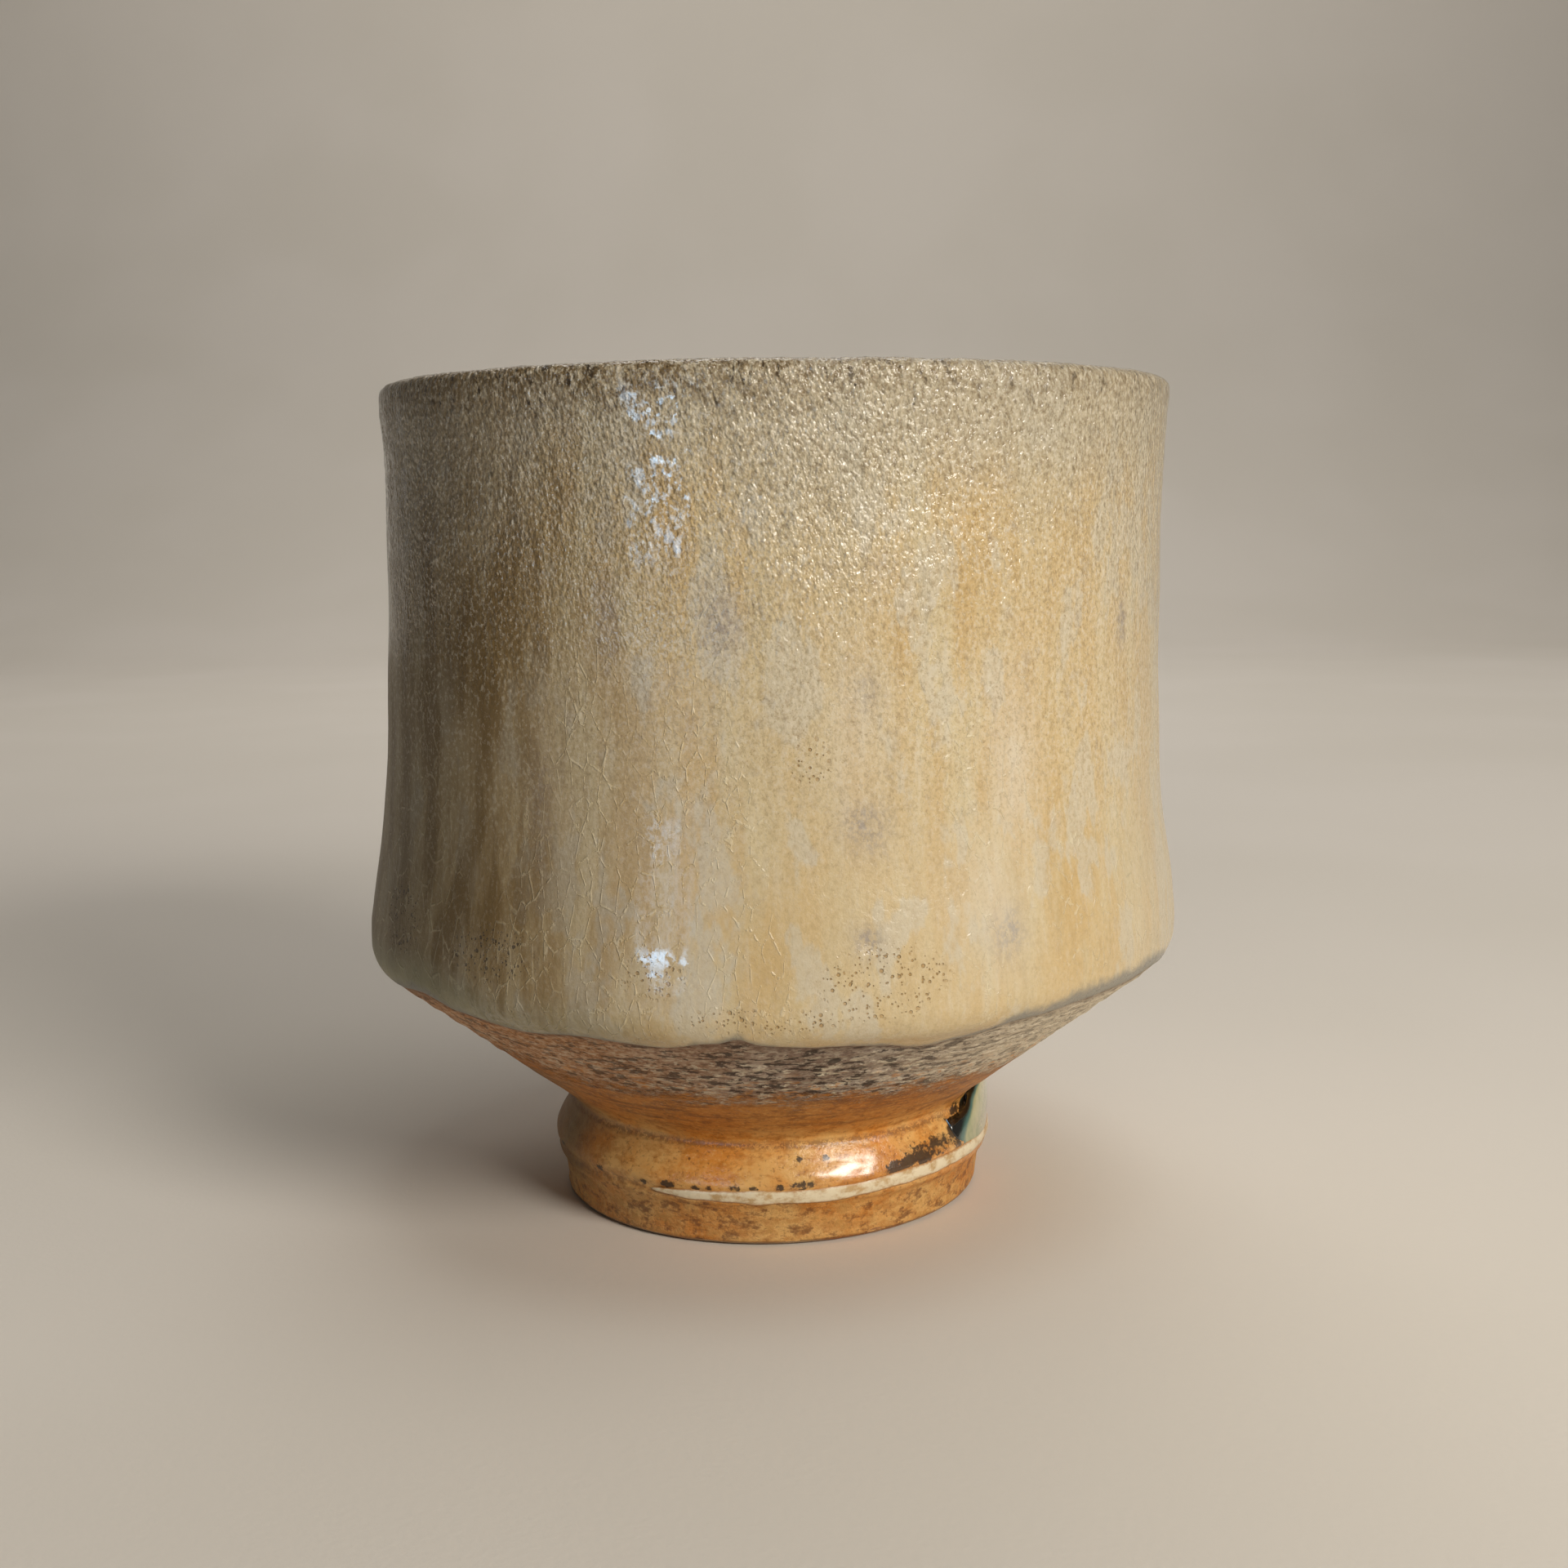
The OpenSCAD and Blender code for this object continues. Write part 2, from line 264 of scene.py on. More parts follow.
@dataclass(frozen=True)
class Outline:
    """Sizes of the clay in mm, and the paths that its skins lie on; a pull is a handle of a curve."""

    lip_c: Point = (43.05, 92.9)
    lip_round: float = 1.6
    lip_pull: Point = (44.485, 90.965)
    waist: Point = (44.1, 80.0)
    waist_pull_up: float = 89.03
    waist_pull_down: float = 42.93
    shoulder_c: Point = (43.9, 31.863)
    shoulder_round: float = 3.0
    shoulder_pull: Point = (45.013, 58.82)
    slope: float = 38.0
    crease: Point = (23.6, 12.2)
    foot_top: float = 11.8
    foot_top_pull: float = 25.0
    full: Point = (25.75, 6.8)
    full_pull_up: float = 9.1
    full_pull_down: float = 4.96
    base_pull: float = 3.58
    stand_r: float = 23.9
    foot_round: float = 0.9
    mouth_r: float = 18.8
    mouth_round: float = 0.7
    recess_r: float = 16.5
    floor_z: float = 18.2
    floor_pull: float = 24.74
    bend: Point = (39.9, 42.0)
    bend_pull_down: float = 22.96
    bend_pull_up: float = 72.54
    mouth_pull: float = 82.72

    def outside(self) -> list[Point]:
        """Corners from the crown of the lip down to the crease.

        Returns:
            The corners in order.
        """
        lip = (self.lip_c[0] + self.lip_round, self.lip_c[1])
        full = (self.shoulder_c[0] + self.shoulder_round, self.shoulder_c[1])
        return [
            *arc(self.lip_c, self.lip_round, 90, 0),
            *bezier(lip, self.lip_pull, (self.waist[0], self.waist_pull_up), self.waist)[1:],
            *bezier(self.waist, (self.waist[0], self.waist_pull_down), self.shoulder_pull, full)[1:],
            *arc(self.shoulder_c, self.shoulder_round, 0, self.slope - 90)[1:],
            self.crease,
        ]

    def inside(self) -> list[Point]:
        """Corners from the middle of the floor up to the crown.

        Returns:
            The corners in order.
        """
        mouth = (self.lip_c[0] - self.lip_round, self.lip_c[1])
        middle, reach = (0.0, self.floor_z), (self.floor_pull, self.floor_z)
        return [
            *bezier(middle, reach, (self.bend[0], self.bend_pull_down), self.bend),
            *bezier(self.bend, (self.bend[0], self.bend_pull_up), (mouth[0], self.mouth_pull), mouth)[1:],
            *arc(self.lip_c, self.lip_round, 180, 90)[1:],
        ]

    def foot(self) -> list[Point]:
        """Corners from the joint down to the flat that the foot stands on.

        Returns:
            The corners in order.
        """
        joint, reach = (self.crease[0], self.foot_top), (self.foot_top_pull, self.foot_top)
        base = (self.stand_r + self.foot_round, self.foot_round)
        return [
            *bezier(joint, reach, (self.full[0], self.full_pull_up), self.full),
            *bezier(self.full, (self.full[0], self.full_pull_down), (base[0], self.base_pull), base)[1:],
            *arc((self.stand_r, self.foot_round), self.foot_round, 0, -90)[1:],
        ]

    def under(self) -> list[Point]:
        """Corners of the foot's underside, from its outer flat to the recess's roof.

        Returns:
            The corners in order.
        """
        return [
            (self.stand_r, 0.0),
            *arc((self.mouth_r + self.mouth_round, self.mouth_round), self.mouth_round, -90, -190, 8),
            (self.recess_r, self.foot_top),
        ]


@dataclass(frozen=True)
class Hand:
    """The lean and wobble of a hand-thrown bowl, which all its pieces share."""

    lean: float = 0.0205
    upright_z: float = 30.0
    wobble: float = 0.16
    wobble_round: float = 1.3
    wobble_up: float = 0.028
    wobble_shift: float = 4.1
    free_z: Point = (1.0, 22.0)
    axis_r: float = 8.0
    inset: float = 0.08
    tilt: float = 0.0065
    settle: float = 0.30
    settle_z: Point = (55.0, 90.0)
    hollow: float = 0.60
    hollow_z: float = 45.0
    hollow_half: float = 7.0
    hollow_r: Point = (41.5, 43.5)

    def place(self, r: float, az: float, z: float) -> Vector:
        """Carry a point of the true round form to its place on the thrown one.

        Args:
            r: Radius in mm.
            az: Azimuth from the front, in degrees, positive to the right.
            z: Height in mm.

        Returns:
            The place in metres.
        """
        right, front = around(az, 1.0)
        wave = ripple(
            self.wobble_round * right + self.wobble_shift, -self.wobble_round * front, self.wobble_up * z,
        )
        drift = self.wobble * wave - self.inset
        drift -= self.hollow * bell(z - self.hollow_z, self.hollow_half) * ramp(r, *self.hollow_r)
        r = max(0.0, r + ramp(z, *self.free_z) * drift * min(1.0, r / self.axis_r))
        x = r * right + self.lean * (z - self.upright_z)
        z -= (self.settle + self.tilt * r * right) * ramp(z, *self.settle_z)
        return Vector((x, -r * front, z)) * MM


@dataclass(frozen=True)
class GlazeEdge:
    """The running lower edge of the outer glaze: azimuth and height of its turns, and finer waves on it."""

    turns: tuple[Point, ...] = (
        (-180, 28.6), (-166, 29.3), (-150, 29.6), (-134, 28.0), (-121, 29.4), (-98, 28.9), (-80, 29.9),
        (-66, 29.6), (-51, 30.4), (-44, 29.5), (-35, 28.5), (-24, 29.1), (-14, 28.4), (-7, 29.2),
        (-4, 29.7), (-1, 28.9), (7, 28.5), (14, 28.1), (20, 27.3), (26, 27.8), (33, 29.2),
        (45, 29.8), (60, 30.2), (74, 29.4), (88, 30.0), (103, 28.2), (116, 29.6), (131, 29.0),
        (146, 29.7), (160, 27.9), (171, 29.0), (180, 28.6),
    )
    waves: tuple[Triple, ...] = ((0.16, 9.0, 3.7), (0.08, 26.0, 8.1))

    def height(self, az: float) -> float:
        """Height of the edge in mm at an azimuth.

        Args:
            az: The azimuth in degrees.

        Returns:
            The height.
        """
        az = turn_to(az)
        i = min(max(bisect_right([t[0] for t in self.turns], az) - 1, 0), len(self.turns) - 2)
        (from_az, from_z), (to_az, to_z) = self.turns[i], self.turns[i + 1]
        z = from_z + (to_z - from_z) * ramp(az, from_az, to_az)
        for size, pace, shift in self.waves:
            z += size * ripple(*around(az, pace), shift)
        return z

    def along(self, path: Path) -> Callable[[float], float]:
        """Distance along a path down to the edge, for any azimuth.

        Args:
            path: A path down the outside.

        Returns:
            The function that gives it.
        """
        places = [path.where(self.height(i / EDGE_PLACES), PAST_LIP) for i in range(360 * EDGE_PLACES + 1)]

        def at(az: float) -> float:
            """Distance down to the edge at an azimuth."""
            i, part = divmod((az % 360.0) * EDGE_PLACES, 1.0)
            return places[int(i)] + (places[int(i) + 1] - places[int(i)]) * part

        return at


@dataclass(frozen=True)
class FootGroove:
    """The turned groove round the foot, in which the white line lies, and the skin above and below it."""

    z: float = 6.15
    depth: float = 0.45
    half: float = 0.62
    climb: float = 0.62
    climb_az: Point = (8, 50)
    drop_az: Point = (60, 110)
    wander: Triple = (0.10, 4.0, 1.9)
    skin_t: float = 0.35
    crest: float = 0.22
    crest_z: float = 6.8
    crest_half: float = 1.6
    shoulder_worn: float = 0.42
    shoulder_low: Point = (6.8, 10.2)
    shoulder_high: Point = (13.0, 10.6)
    base_worn: float = 0.30
    base_z: Point = (5.5, 4.5)
    back: float = 0.5
    back_low: Point = (1.5, 3.0)
    back_high: Point = (11.7, 11.0)

    def skin(self, z: float) -> float:
        """Thickness of the flashing skin: fullest just over the groove, worn on the neck and the base.

        Args:
            z: Height in mm.

        Returns:
            The thickness in mm.
        """
        shoulder = self.shoulder_worn * ramp(z, *self.shoulder_low) * ramp(z, *self.shoulder_high)
        base = self.base_worn * ramp(z, *self.base_z)
        return self.skin_t + self.crest * bell(z - self.crest_z, self.crest_half) - shoulder - base

    def sunk(self, z: float) -> float:
        """How far the clay of the foot lies back under the skin at a height."""
        return self.back * ramp(z, *self.back_low) * ramp(z, *self.back_high)

    def height(self, az: float) -> float:
        """Height of its middle, which climbs a little at the right of the front.

        Args:
            az: Azimuth in degrees.

        Returns:
            The height in mm.
        """
        climb = self.climb * ramp(az, *self.climb_az) * (1 - ramp(az, *self.drop_az))
        size, pace, shift = self.wander
        return self.z + climb + size * ripple(*around(az, pace), shift)


def turn(
    stations: list[Point], steps: int, place: Place, start: float = -180.0, sweep: float = 360.0,
) -> bmesh.types.BMesh:
    """Spin a closed section round the bowl's axis and carry every vertex to its place.

    Args:
        stations: The section as (distance along, lift), in order round it.
        steps: How many steps round, a multiple of 16 for a full turn.
        place: Gives the place for azimuth, distance along and lift.
        start: Azimuth of the first step.
        sweep: Degrees turned; 360 closes the ring.

    Returns:
        The turned mesh, with its layers along, lift and azimuth.
    """
    bm = bmesh.new()
    along = bm.verts.layers.float.new("along")
    lift = bm.verts.layers.float.new("lift")
    azimuth = bm.verts.layers.float.new("azimuth")
    ring = []
    for i, (s, t) in enumerate(stations):
        # A plain leaning column first, so that no two stations meet before they are placed.
        right, front = around(start, COLUMN_R + COLUMN_LEAN * i)
        v = bm.verts.new((right, -front, COLUMN_RISE * i))
        v[along], v[lift] = s, t
        ring.append(v)
    edges = [bm.edges.new((p, q)) for p, q in zip(ring, ring[1:] + ring[:1])]
    doublings = DOUBLINGS if sweep >= 360.0 else 0
    angle = math.radians(sweep) / 2 ** doublings
    bmesh.ops.spin(
        bm, geom=ring + edges, cent=(0, 0, 0), axis=(0, 0, 1), dvec=(0, 0, 0), angle=angle,
        steps=steps // 2 ** doublings, use_merge=False, use_duplicate=False, use_normal_flip=False,
    )
    for i in range(doublings):
        copy = bmesh.ops.duplicate(bm, geom=bm.verts[:] + bm.edges[:] + bm.faces[:])["geom"]
        bmesh.ops.rotate(
            bm, verts=[v for v in copy if isinstance(v, bmesh.types.BMVert)], cent=(0, 0, 0),
            matrix=Matrix.Rotation(angle * 2 ** i, 3, "Z"),
        )
    bmesh.ops.remove_doubles(bm, verts=bm.verts[:], dist=MERGE)
    for v in bm.verts:
        az = turn_to(math.degrees(math.atan2(v.co.x, -v.co.y)))
        v[azimuth] = az
        v.co = place(az, v[along], v[lift])
    bmesh.ops.remove_doubles(bm, verts=bm.verts[:], dist=MERGE)
    bmesh.ops.dissolve_degenerate(bm, dist=MERGE / 2, edges=bm.edges[:])
    return bm


def dressed(bm: bmesh.types.BMesh, name: str, finish: bpy.types.Material) -> bpy.types.Object:
    """Make a smooth object of a finished mesh and dress it.

    Args:
        bm: The mesh, in metres, in the shared frame.
        name: The object's name.
        finish: Its material.

    Returns:
        The object.
    """
    bmesh.ops.recalc_face_normals(bm, faces=bm.faces[:])
    for face in bm.faces:
        face.smooth = True
    mesh = bpy.data.meshes.new(name)
    bm.to_mesh(mesh)
    bm.free()
    mesh.materials.append(finish)
    made = bpy.data.objects.new(name, mesh)
    bpy.context.scene.collection.objects.link(made)
    return made


def keep(bm: bmesh.types.BMesh, name: str, node: str, slot: Slot, finish: bpy.types.Material) -> None:
    """Make a piece of a finished mesh, and let it stand for its node.

    Args:
        bm: The mesh, in metres, in the shared frame.
        name: The piece's name.
        node: The node that it stands for.
        slot: The record's material slot; not used.
        finish: Its material.
    """
    piece = dressed(bm, name, finish)
    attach(piece, "root")
    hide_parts(node)
    LOG.info("%s stands for %s: %d faces", name, node, len(piece.data.polygons))


def steps_between(low: float, high: float, step: float) -> list[float]:
    """Evenly spaced numbers from low to high, both included."""
    n = max(1, round(abs(high - low) / step))
    return [low + (high - low) * i / n for i in range(n + 1)]


def srgb(colour: str) -> tuple[float, float, float, float]:
    """A written colour as the shader's own numbers.

    Args:
        colour: Red, green and blue in hexadecimal, such as d0b88c.

    Returns:
        The four numbers.
    """
    parts = [int(colour[i:i + 2], 16) / 255 for i in (0, 2, 4)]
    linear = [c / 12.92 if c <= 0.04045 else ((c + 0.055) / 1.055) ** 2.4 for c in parts]
    return (*linear, 1.0)


class Value:
    """A number that changes over a surface; an expression on it adds the Math nodes."""

    def __init__(self, sheet: "Bench", socket: bpy.types.NodeSocket) -> None:
        """Wrap a socket of a sheet's tree."""
        self.sheet = sheet
        self.socket = socket

    def _math(self, operation: str, a: "Number", b: "Number") -> "Value":
        """One Math node.

        Args:
            operation: Its operation.
            a: First number.
            b: Second number.

        Returns:
            Its result.
        """
        node = self.sheet.node("ShaderNodeMath", {"operation": operation}, {0: a, 1: b})
        return Value(self.sheet, node.outputs[0])

    def __add__(self, other: "Number") -> "Value":
        """Sum."""
        return self._math("ADD", self, other)

    __radd__ = __add__

    def __sub__(self, other: "Number") -> "Value":
        """Difference."""
        return self._math("SUBTRACT", self, other)

    def __rsub__(self, other: "Number") -> "Value":
        """Difference the other way round."""
        return self._math("SUBTRACT", other, self)

    def __mul__(self, other: "Number") -> "Value":
        """Product."""
        return self._math("MULTIPLY", self, other)

    __rmul__ = __mul__

    def most(self, other: "Number") -> "Value":
        """The larger of the two."""
        return self._math("MAXIMUM", self, other)

    def least(self, other: "Number") -> "Value":
        """The smaller of the two."""
        return self._math("MINIMUM", self, other)

    def ramp(self, low: float, high: float, start: float = 0.0, end: float = 1.0) -> "Value":
        """Ease from one number to another.

        Args:
            low: Where it leaves start.
            high: Where it reaches end; may lie below low.
            start: Number below low.
            end: Number above high.

        Returns:
            The eased number.
        """
        if low > high:
            low, high, start, end = high, low, end, start
        node = self.sheet.node(
            "ShaderNodeMapRange", {"interpolation_type": "SMOOTHSTEP"},
            {"Value": self, "From Min": low, "From Max": high, "To Min": start, "To Max": end},
        )
        return Value(self.sheet, node.outputs["Result"])


Number = Union[Value, float]
Colour = Union[bpy.types.NodeSocket, str]


class Bench:
    """A node tree that nodes are added to."""

    def __init__(self, tree: bpy.types.NodeTree) -> None:
        """Keep the tree."""
        self.tree = tree

    def feed(self, node: bpy.types.Node, sockets: dict) -> None:
        """Link or set inputs of a node.

        Args:
            node: The node.
            sockets: Values or links of its inputs, by name or number.
        """
        for key, value in sockets.items():
            if isinstance(value, Value):
                value = value.socket
            if isinstance(value, bpy.types.NodeSocket):
                self.tree.links.new(value, node.inputs[key])
            else:
                node.inputs[key].default_value = value

    def node(self, kind: str, settings: dict | None = None, sockets: dict | None = None) -> bpy.types.Node:
        """Add a node.

        Args:
            kind: Its type.
            settings: Its own settings, set first.
            sockets: Values or links of its inputs, by name or number.

        Returns:
            The node.
        """
        made = self.tree.nodes.new(kind)
        for key, value in (settings or {}).items():
            setattr(made, key, value)
        self.feed(made, sockets or {})
        return made


class Sheet(Bench):
    """The node tree of one finish, with coordinates in mm."""

    dot_edge = 0.35
    speck_edge = 0.06

    def __init__(self, name: str) -> None:
        """Start a material with its shader and output.

        Args:
            name: The material's name.
        """
        self.material = bpy.data.materials.new(name)
        self.material.use_nodes = True
        super().__init__(self.material.node_tree)
        self.tree.nodes.clear()
        self.shader = self.node("ShaderNodeBsdfPrincipled")
        self.node("ShaderNodeOutputMaterial", {}, {"Surface": self.shader.outputs[0]})
        self.object = self.node("ShaderNodeTexCoord").outputs["Object"]
        self.mm = self.stretch(1.0, 1.0, 1.0)

    def stretch(
        self, x: float, y: float, z: float, shift: float = 0.0, lean: float = 0.0,
    ) -> bpy.types.NodeSocket:
        """Object coordinates in mm, drawn out along the axes.

        Args:
            x: Scale along X.
            y: Scale along Y.
            z: Scale along Z; a small one draws a pattern out upwards.
            shift: Moves the pattern, so that two differ.
            lean: Degrees that the pattern leans over to the left.

        Returns:
            The coordinates.
        """
        coords = self.object
        if lean:
            turned = self.node(
                "ShaderNodeMapping", {}, {"Vector": coords, "Rotation": (0.0, math.radians(lean), 0.0)},
            )
            coords = turned.outputs["Vector"]
        scale, place = (x / MM, y / MM, z / MM), (shift, 1.7 * shift, 0.6 * shift)
        node = self.node("ShaderNodeMapping", {}, {"Vector": coords, "Scale": scale, "Location": place})
        return node.outputs["Vector"]

    def height(self) -> Value:
        """Height above the table in mm."""
        return Value(self, self.node("ShaderNodeSeparateXYZ", {}, {0: self.mm}).outputs["Z"])

    def across(self) -> Value:
        """Distance to the right of the middle in mm."""
        return Value(self, self.node("ShaderNodeSeparateXYZ", {}, {0: self.mm}).outputs["X"])

    def layer(self, name: str) -> Value:
        """A number layer of the piece's own mesh."""
        node = self.node("ShaderNodeAttribute", {"attribute_name": name})
        return Value(self, node.outputs["Fac"])

    def marks(self, name: str) -> list[Value]:
        """The three channels of a colour layer of the piece's own mesh.

        Args:
            name: The layer's name.

        Returns:
            The channels.
        """
        node = self.node("ShaderNodeAttribute", {"attribute_name": name})
        parts = self.node("ShaderNodeSeparateColor", {}, {0: node.outputs["Color"]})
        return [Value(self, parts.outputs[i]) for i in range(3)]

    def cloud(
        self, coords: bpy.types.NodeSocket, scale: float, detail: float = 3.0, rough: float = 0.55,
    ) -> Value:
        """Noise from 0 to 1.

        Args:
            coords: Coordinates in mm.
            scale: Waves per mm.
            detail: Finer waves on it.
            rough: How strong those are.

        Returns:
            The noise.
        """
        node = self.node(
            "ShaderNodeTexNoise", {"noise_dimensions": "3D"},
            {"Vector": coords, "Scale": scale, "Detail": detail, "Roughness": rough, "Distortion": 0.0},
        )
        return Value(self, node.outputs["Fac"])

    def cracks(self, coords: bpy.types.NodeSocket, scale: float) -> Value:
        """Distance to the nearest crack of a net of them.

        Args:
            coords: Coordinates in mm.
            scale: Meshes of the net per mm.

        Returns:
            The distance, as a share of a mesh.
        """
        node = self.node(
            "ShaderNodeTexVoronoi", {"feature": "DISTANCE_TO_EDGE"}, {"Vector": coords, "Scale": scale},
        )
        return Value(self, node.outputs["Distance"])

    def dots(self, scale: float, radius: float, share: float, shift: float = 0.0) -> Value:
        """Scattered round dots.

        Args:
            scale: Cells per mm.
            radius: Their largest radius in mm.
            share: Share of the cells that hold one.
            shift: Moves the pattern.

        Returns:
            1 inside the dots and 0 outside.
        """
        coords = self.stretch(1, 1, 1, shift)
        node = self.node("ShaderNodeTexVoronoi", {"feature": "F1"}, {"Vector": coords, "Scale": scale})
        parts = self.node("ShaderNodeSeparateColor", {}, {0: node.outputs["Color"]})
        size = Value(self, parts.outputs[0]).ramp(1 - share, 1.0, 0.0, radius * scale)
        return (size - Value(self, node.outputs["Distance"])).ramp(0.0, self.dot_edge * radius * scale)

    def specks(self, scale: float, level: float, shift: float = 0.0) -> Value:
        """Ragged specks, where a fine noise peaks.

        Args:
            scale: Waves per mm.
            level: Noise above which they show.
            shift: Moves the pattern.

        Returns:
            1 inside the specks and 0 outside.
        """
        noise_here = self.cloud(self.stretch(1, 1, 1, shift), scale, 2.0, 0.6)
        return noise_here.ramp(level, level + self.speck_edge)

    def bend(self, coords: bpy.types.NodeSocket, scale: float, reach: float) -> bpy.types.NodeSocket:
        """Coordinates pushed about by noise.

        Args:
            coords: Coordinates in mm.
            scale: Waves per mm.
            reach: How far, in mm.

        Returns:
            The bent coordinates.
        """
        wave = self.node("ShaderNodeTexNoise", {}, {"Vector": coords, "Scale": scale, "Detail": 2.0})
        push = self.node(
            "ShaderNodeVectorMath", {"operation": "MULTIPLY_ADD"},
            {0: wave.outputs["Color"], 1: (reach, reach, reach), 2: coords},
        )
        return push.outputs[0]

    def mix(self, share: Number, a: Colour, b: Colour) -> bpy.types.NodeSocket:
        """Mix two colours.

        Args:
            share: How much of b.
            a: First colour.
            b: Second colour.

        Returns:
            The mixed colour.
        """
        a, b = (srgb(c) if isinstance(c, str) else c for c in (a, b))
        settings = {"data_type": "RGBA", "blend_type": "MIX", "clamp_factor": True}
        return self.node("ShaderNodeMix", settings, {0: share, 6: a, 7: b}).outputs[2]

    def lay(self, colour: Colour, *coats: tuple[Number, Colour]) -> bpy.types.NodeSocket:
        """Lay colours over one another, each by its own share.

        Args:
            colour: Colour at the bottom.
            coats: Share and colour of every coat above it, in order.

        Returns:
            The colour that shows.
        """
        for share, tint in coats:
            colour = self.mix(share, colour, tint)
        return colour

    def finish(
        self, colour: bpy.types.NodeSocket, rough: Number, bump: Value, **others: Number,
    ) -> bpy.types.Material:
        """Link the shader.

        Args:
            colour: Base colour.
            rough: Roughness.
            bump: Fine relief in mm.
            others: Other inputs of the shader, with _ for spaces.

        Returns:
            The material.
        """
        relief = self.node("ShaderNodeBump", {}, {"Strength": 1.0, "Distance": MM, "Height": bump})
        sockets = {"Base Color": colour, "Roughness": rough, "Normal": relief.outputs["Normal"]}
        for key, value in others.items():
            sockets[key.replace("_", " ").title().replace("Ior", "IOR")] = value
        self.feed(self.shader, sockets)
        return self.material


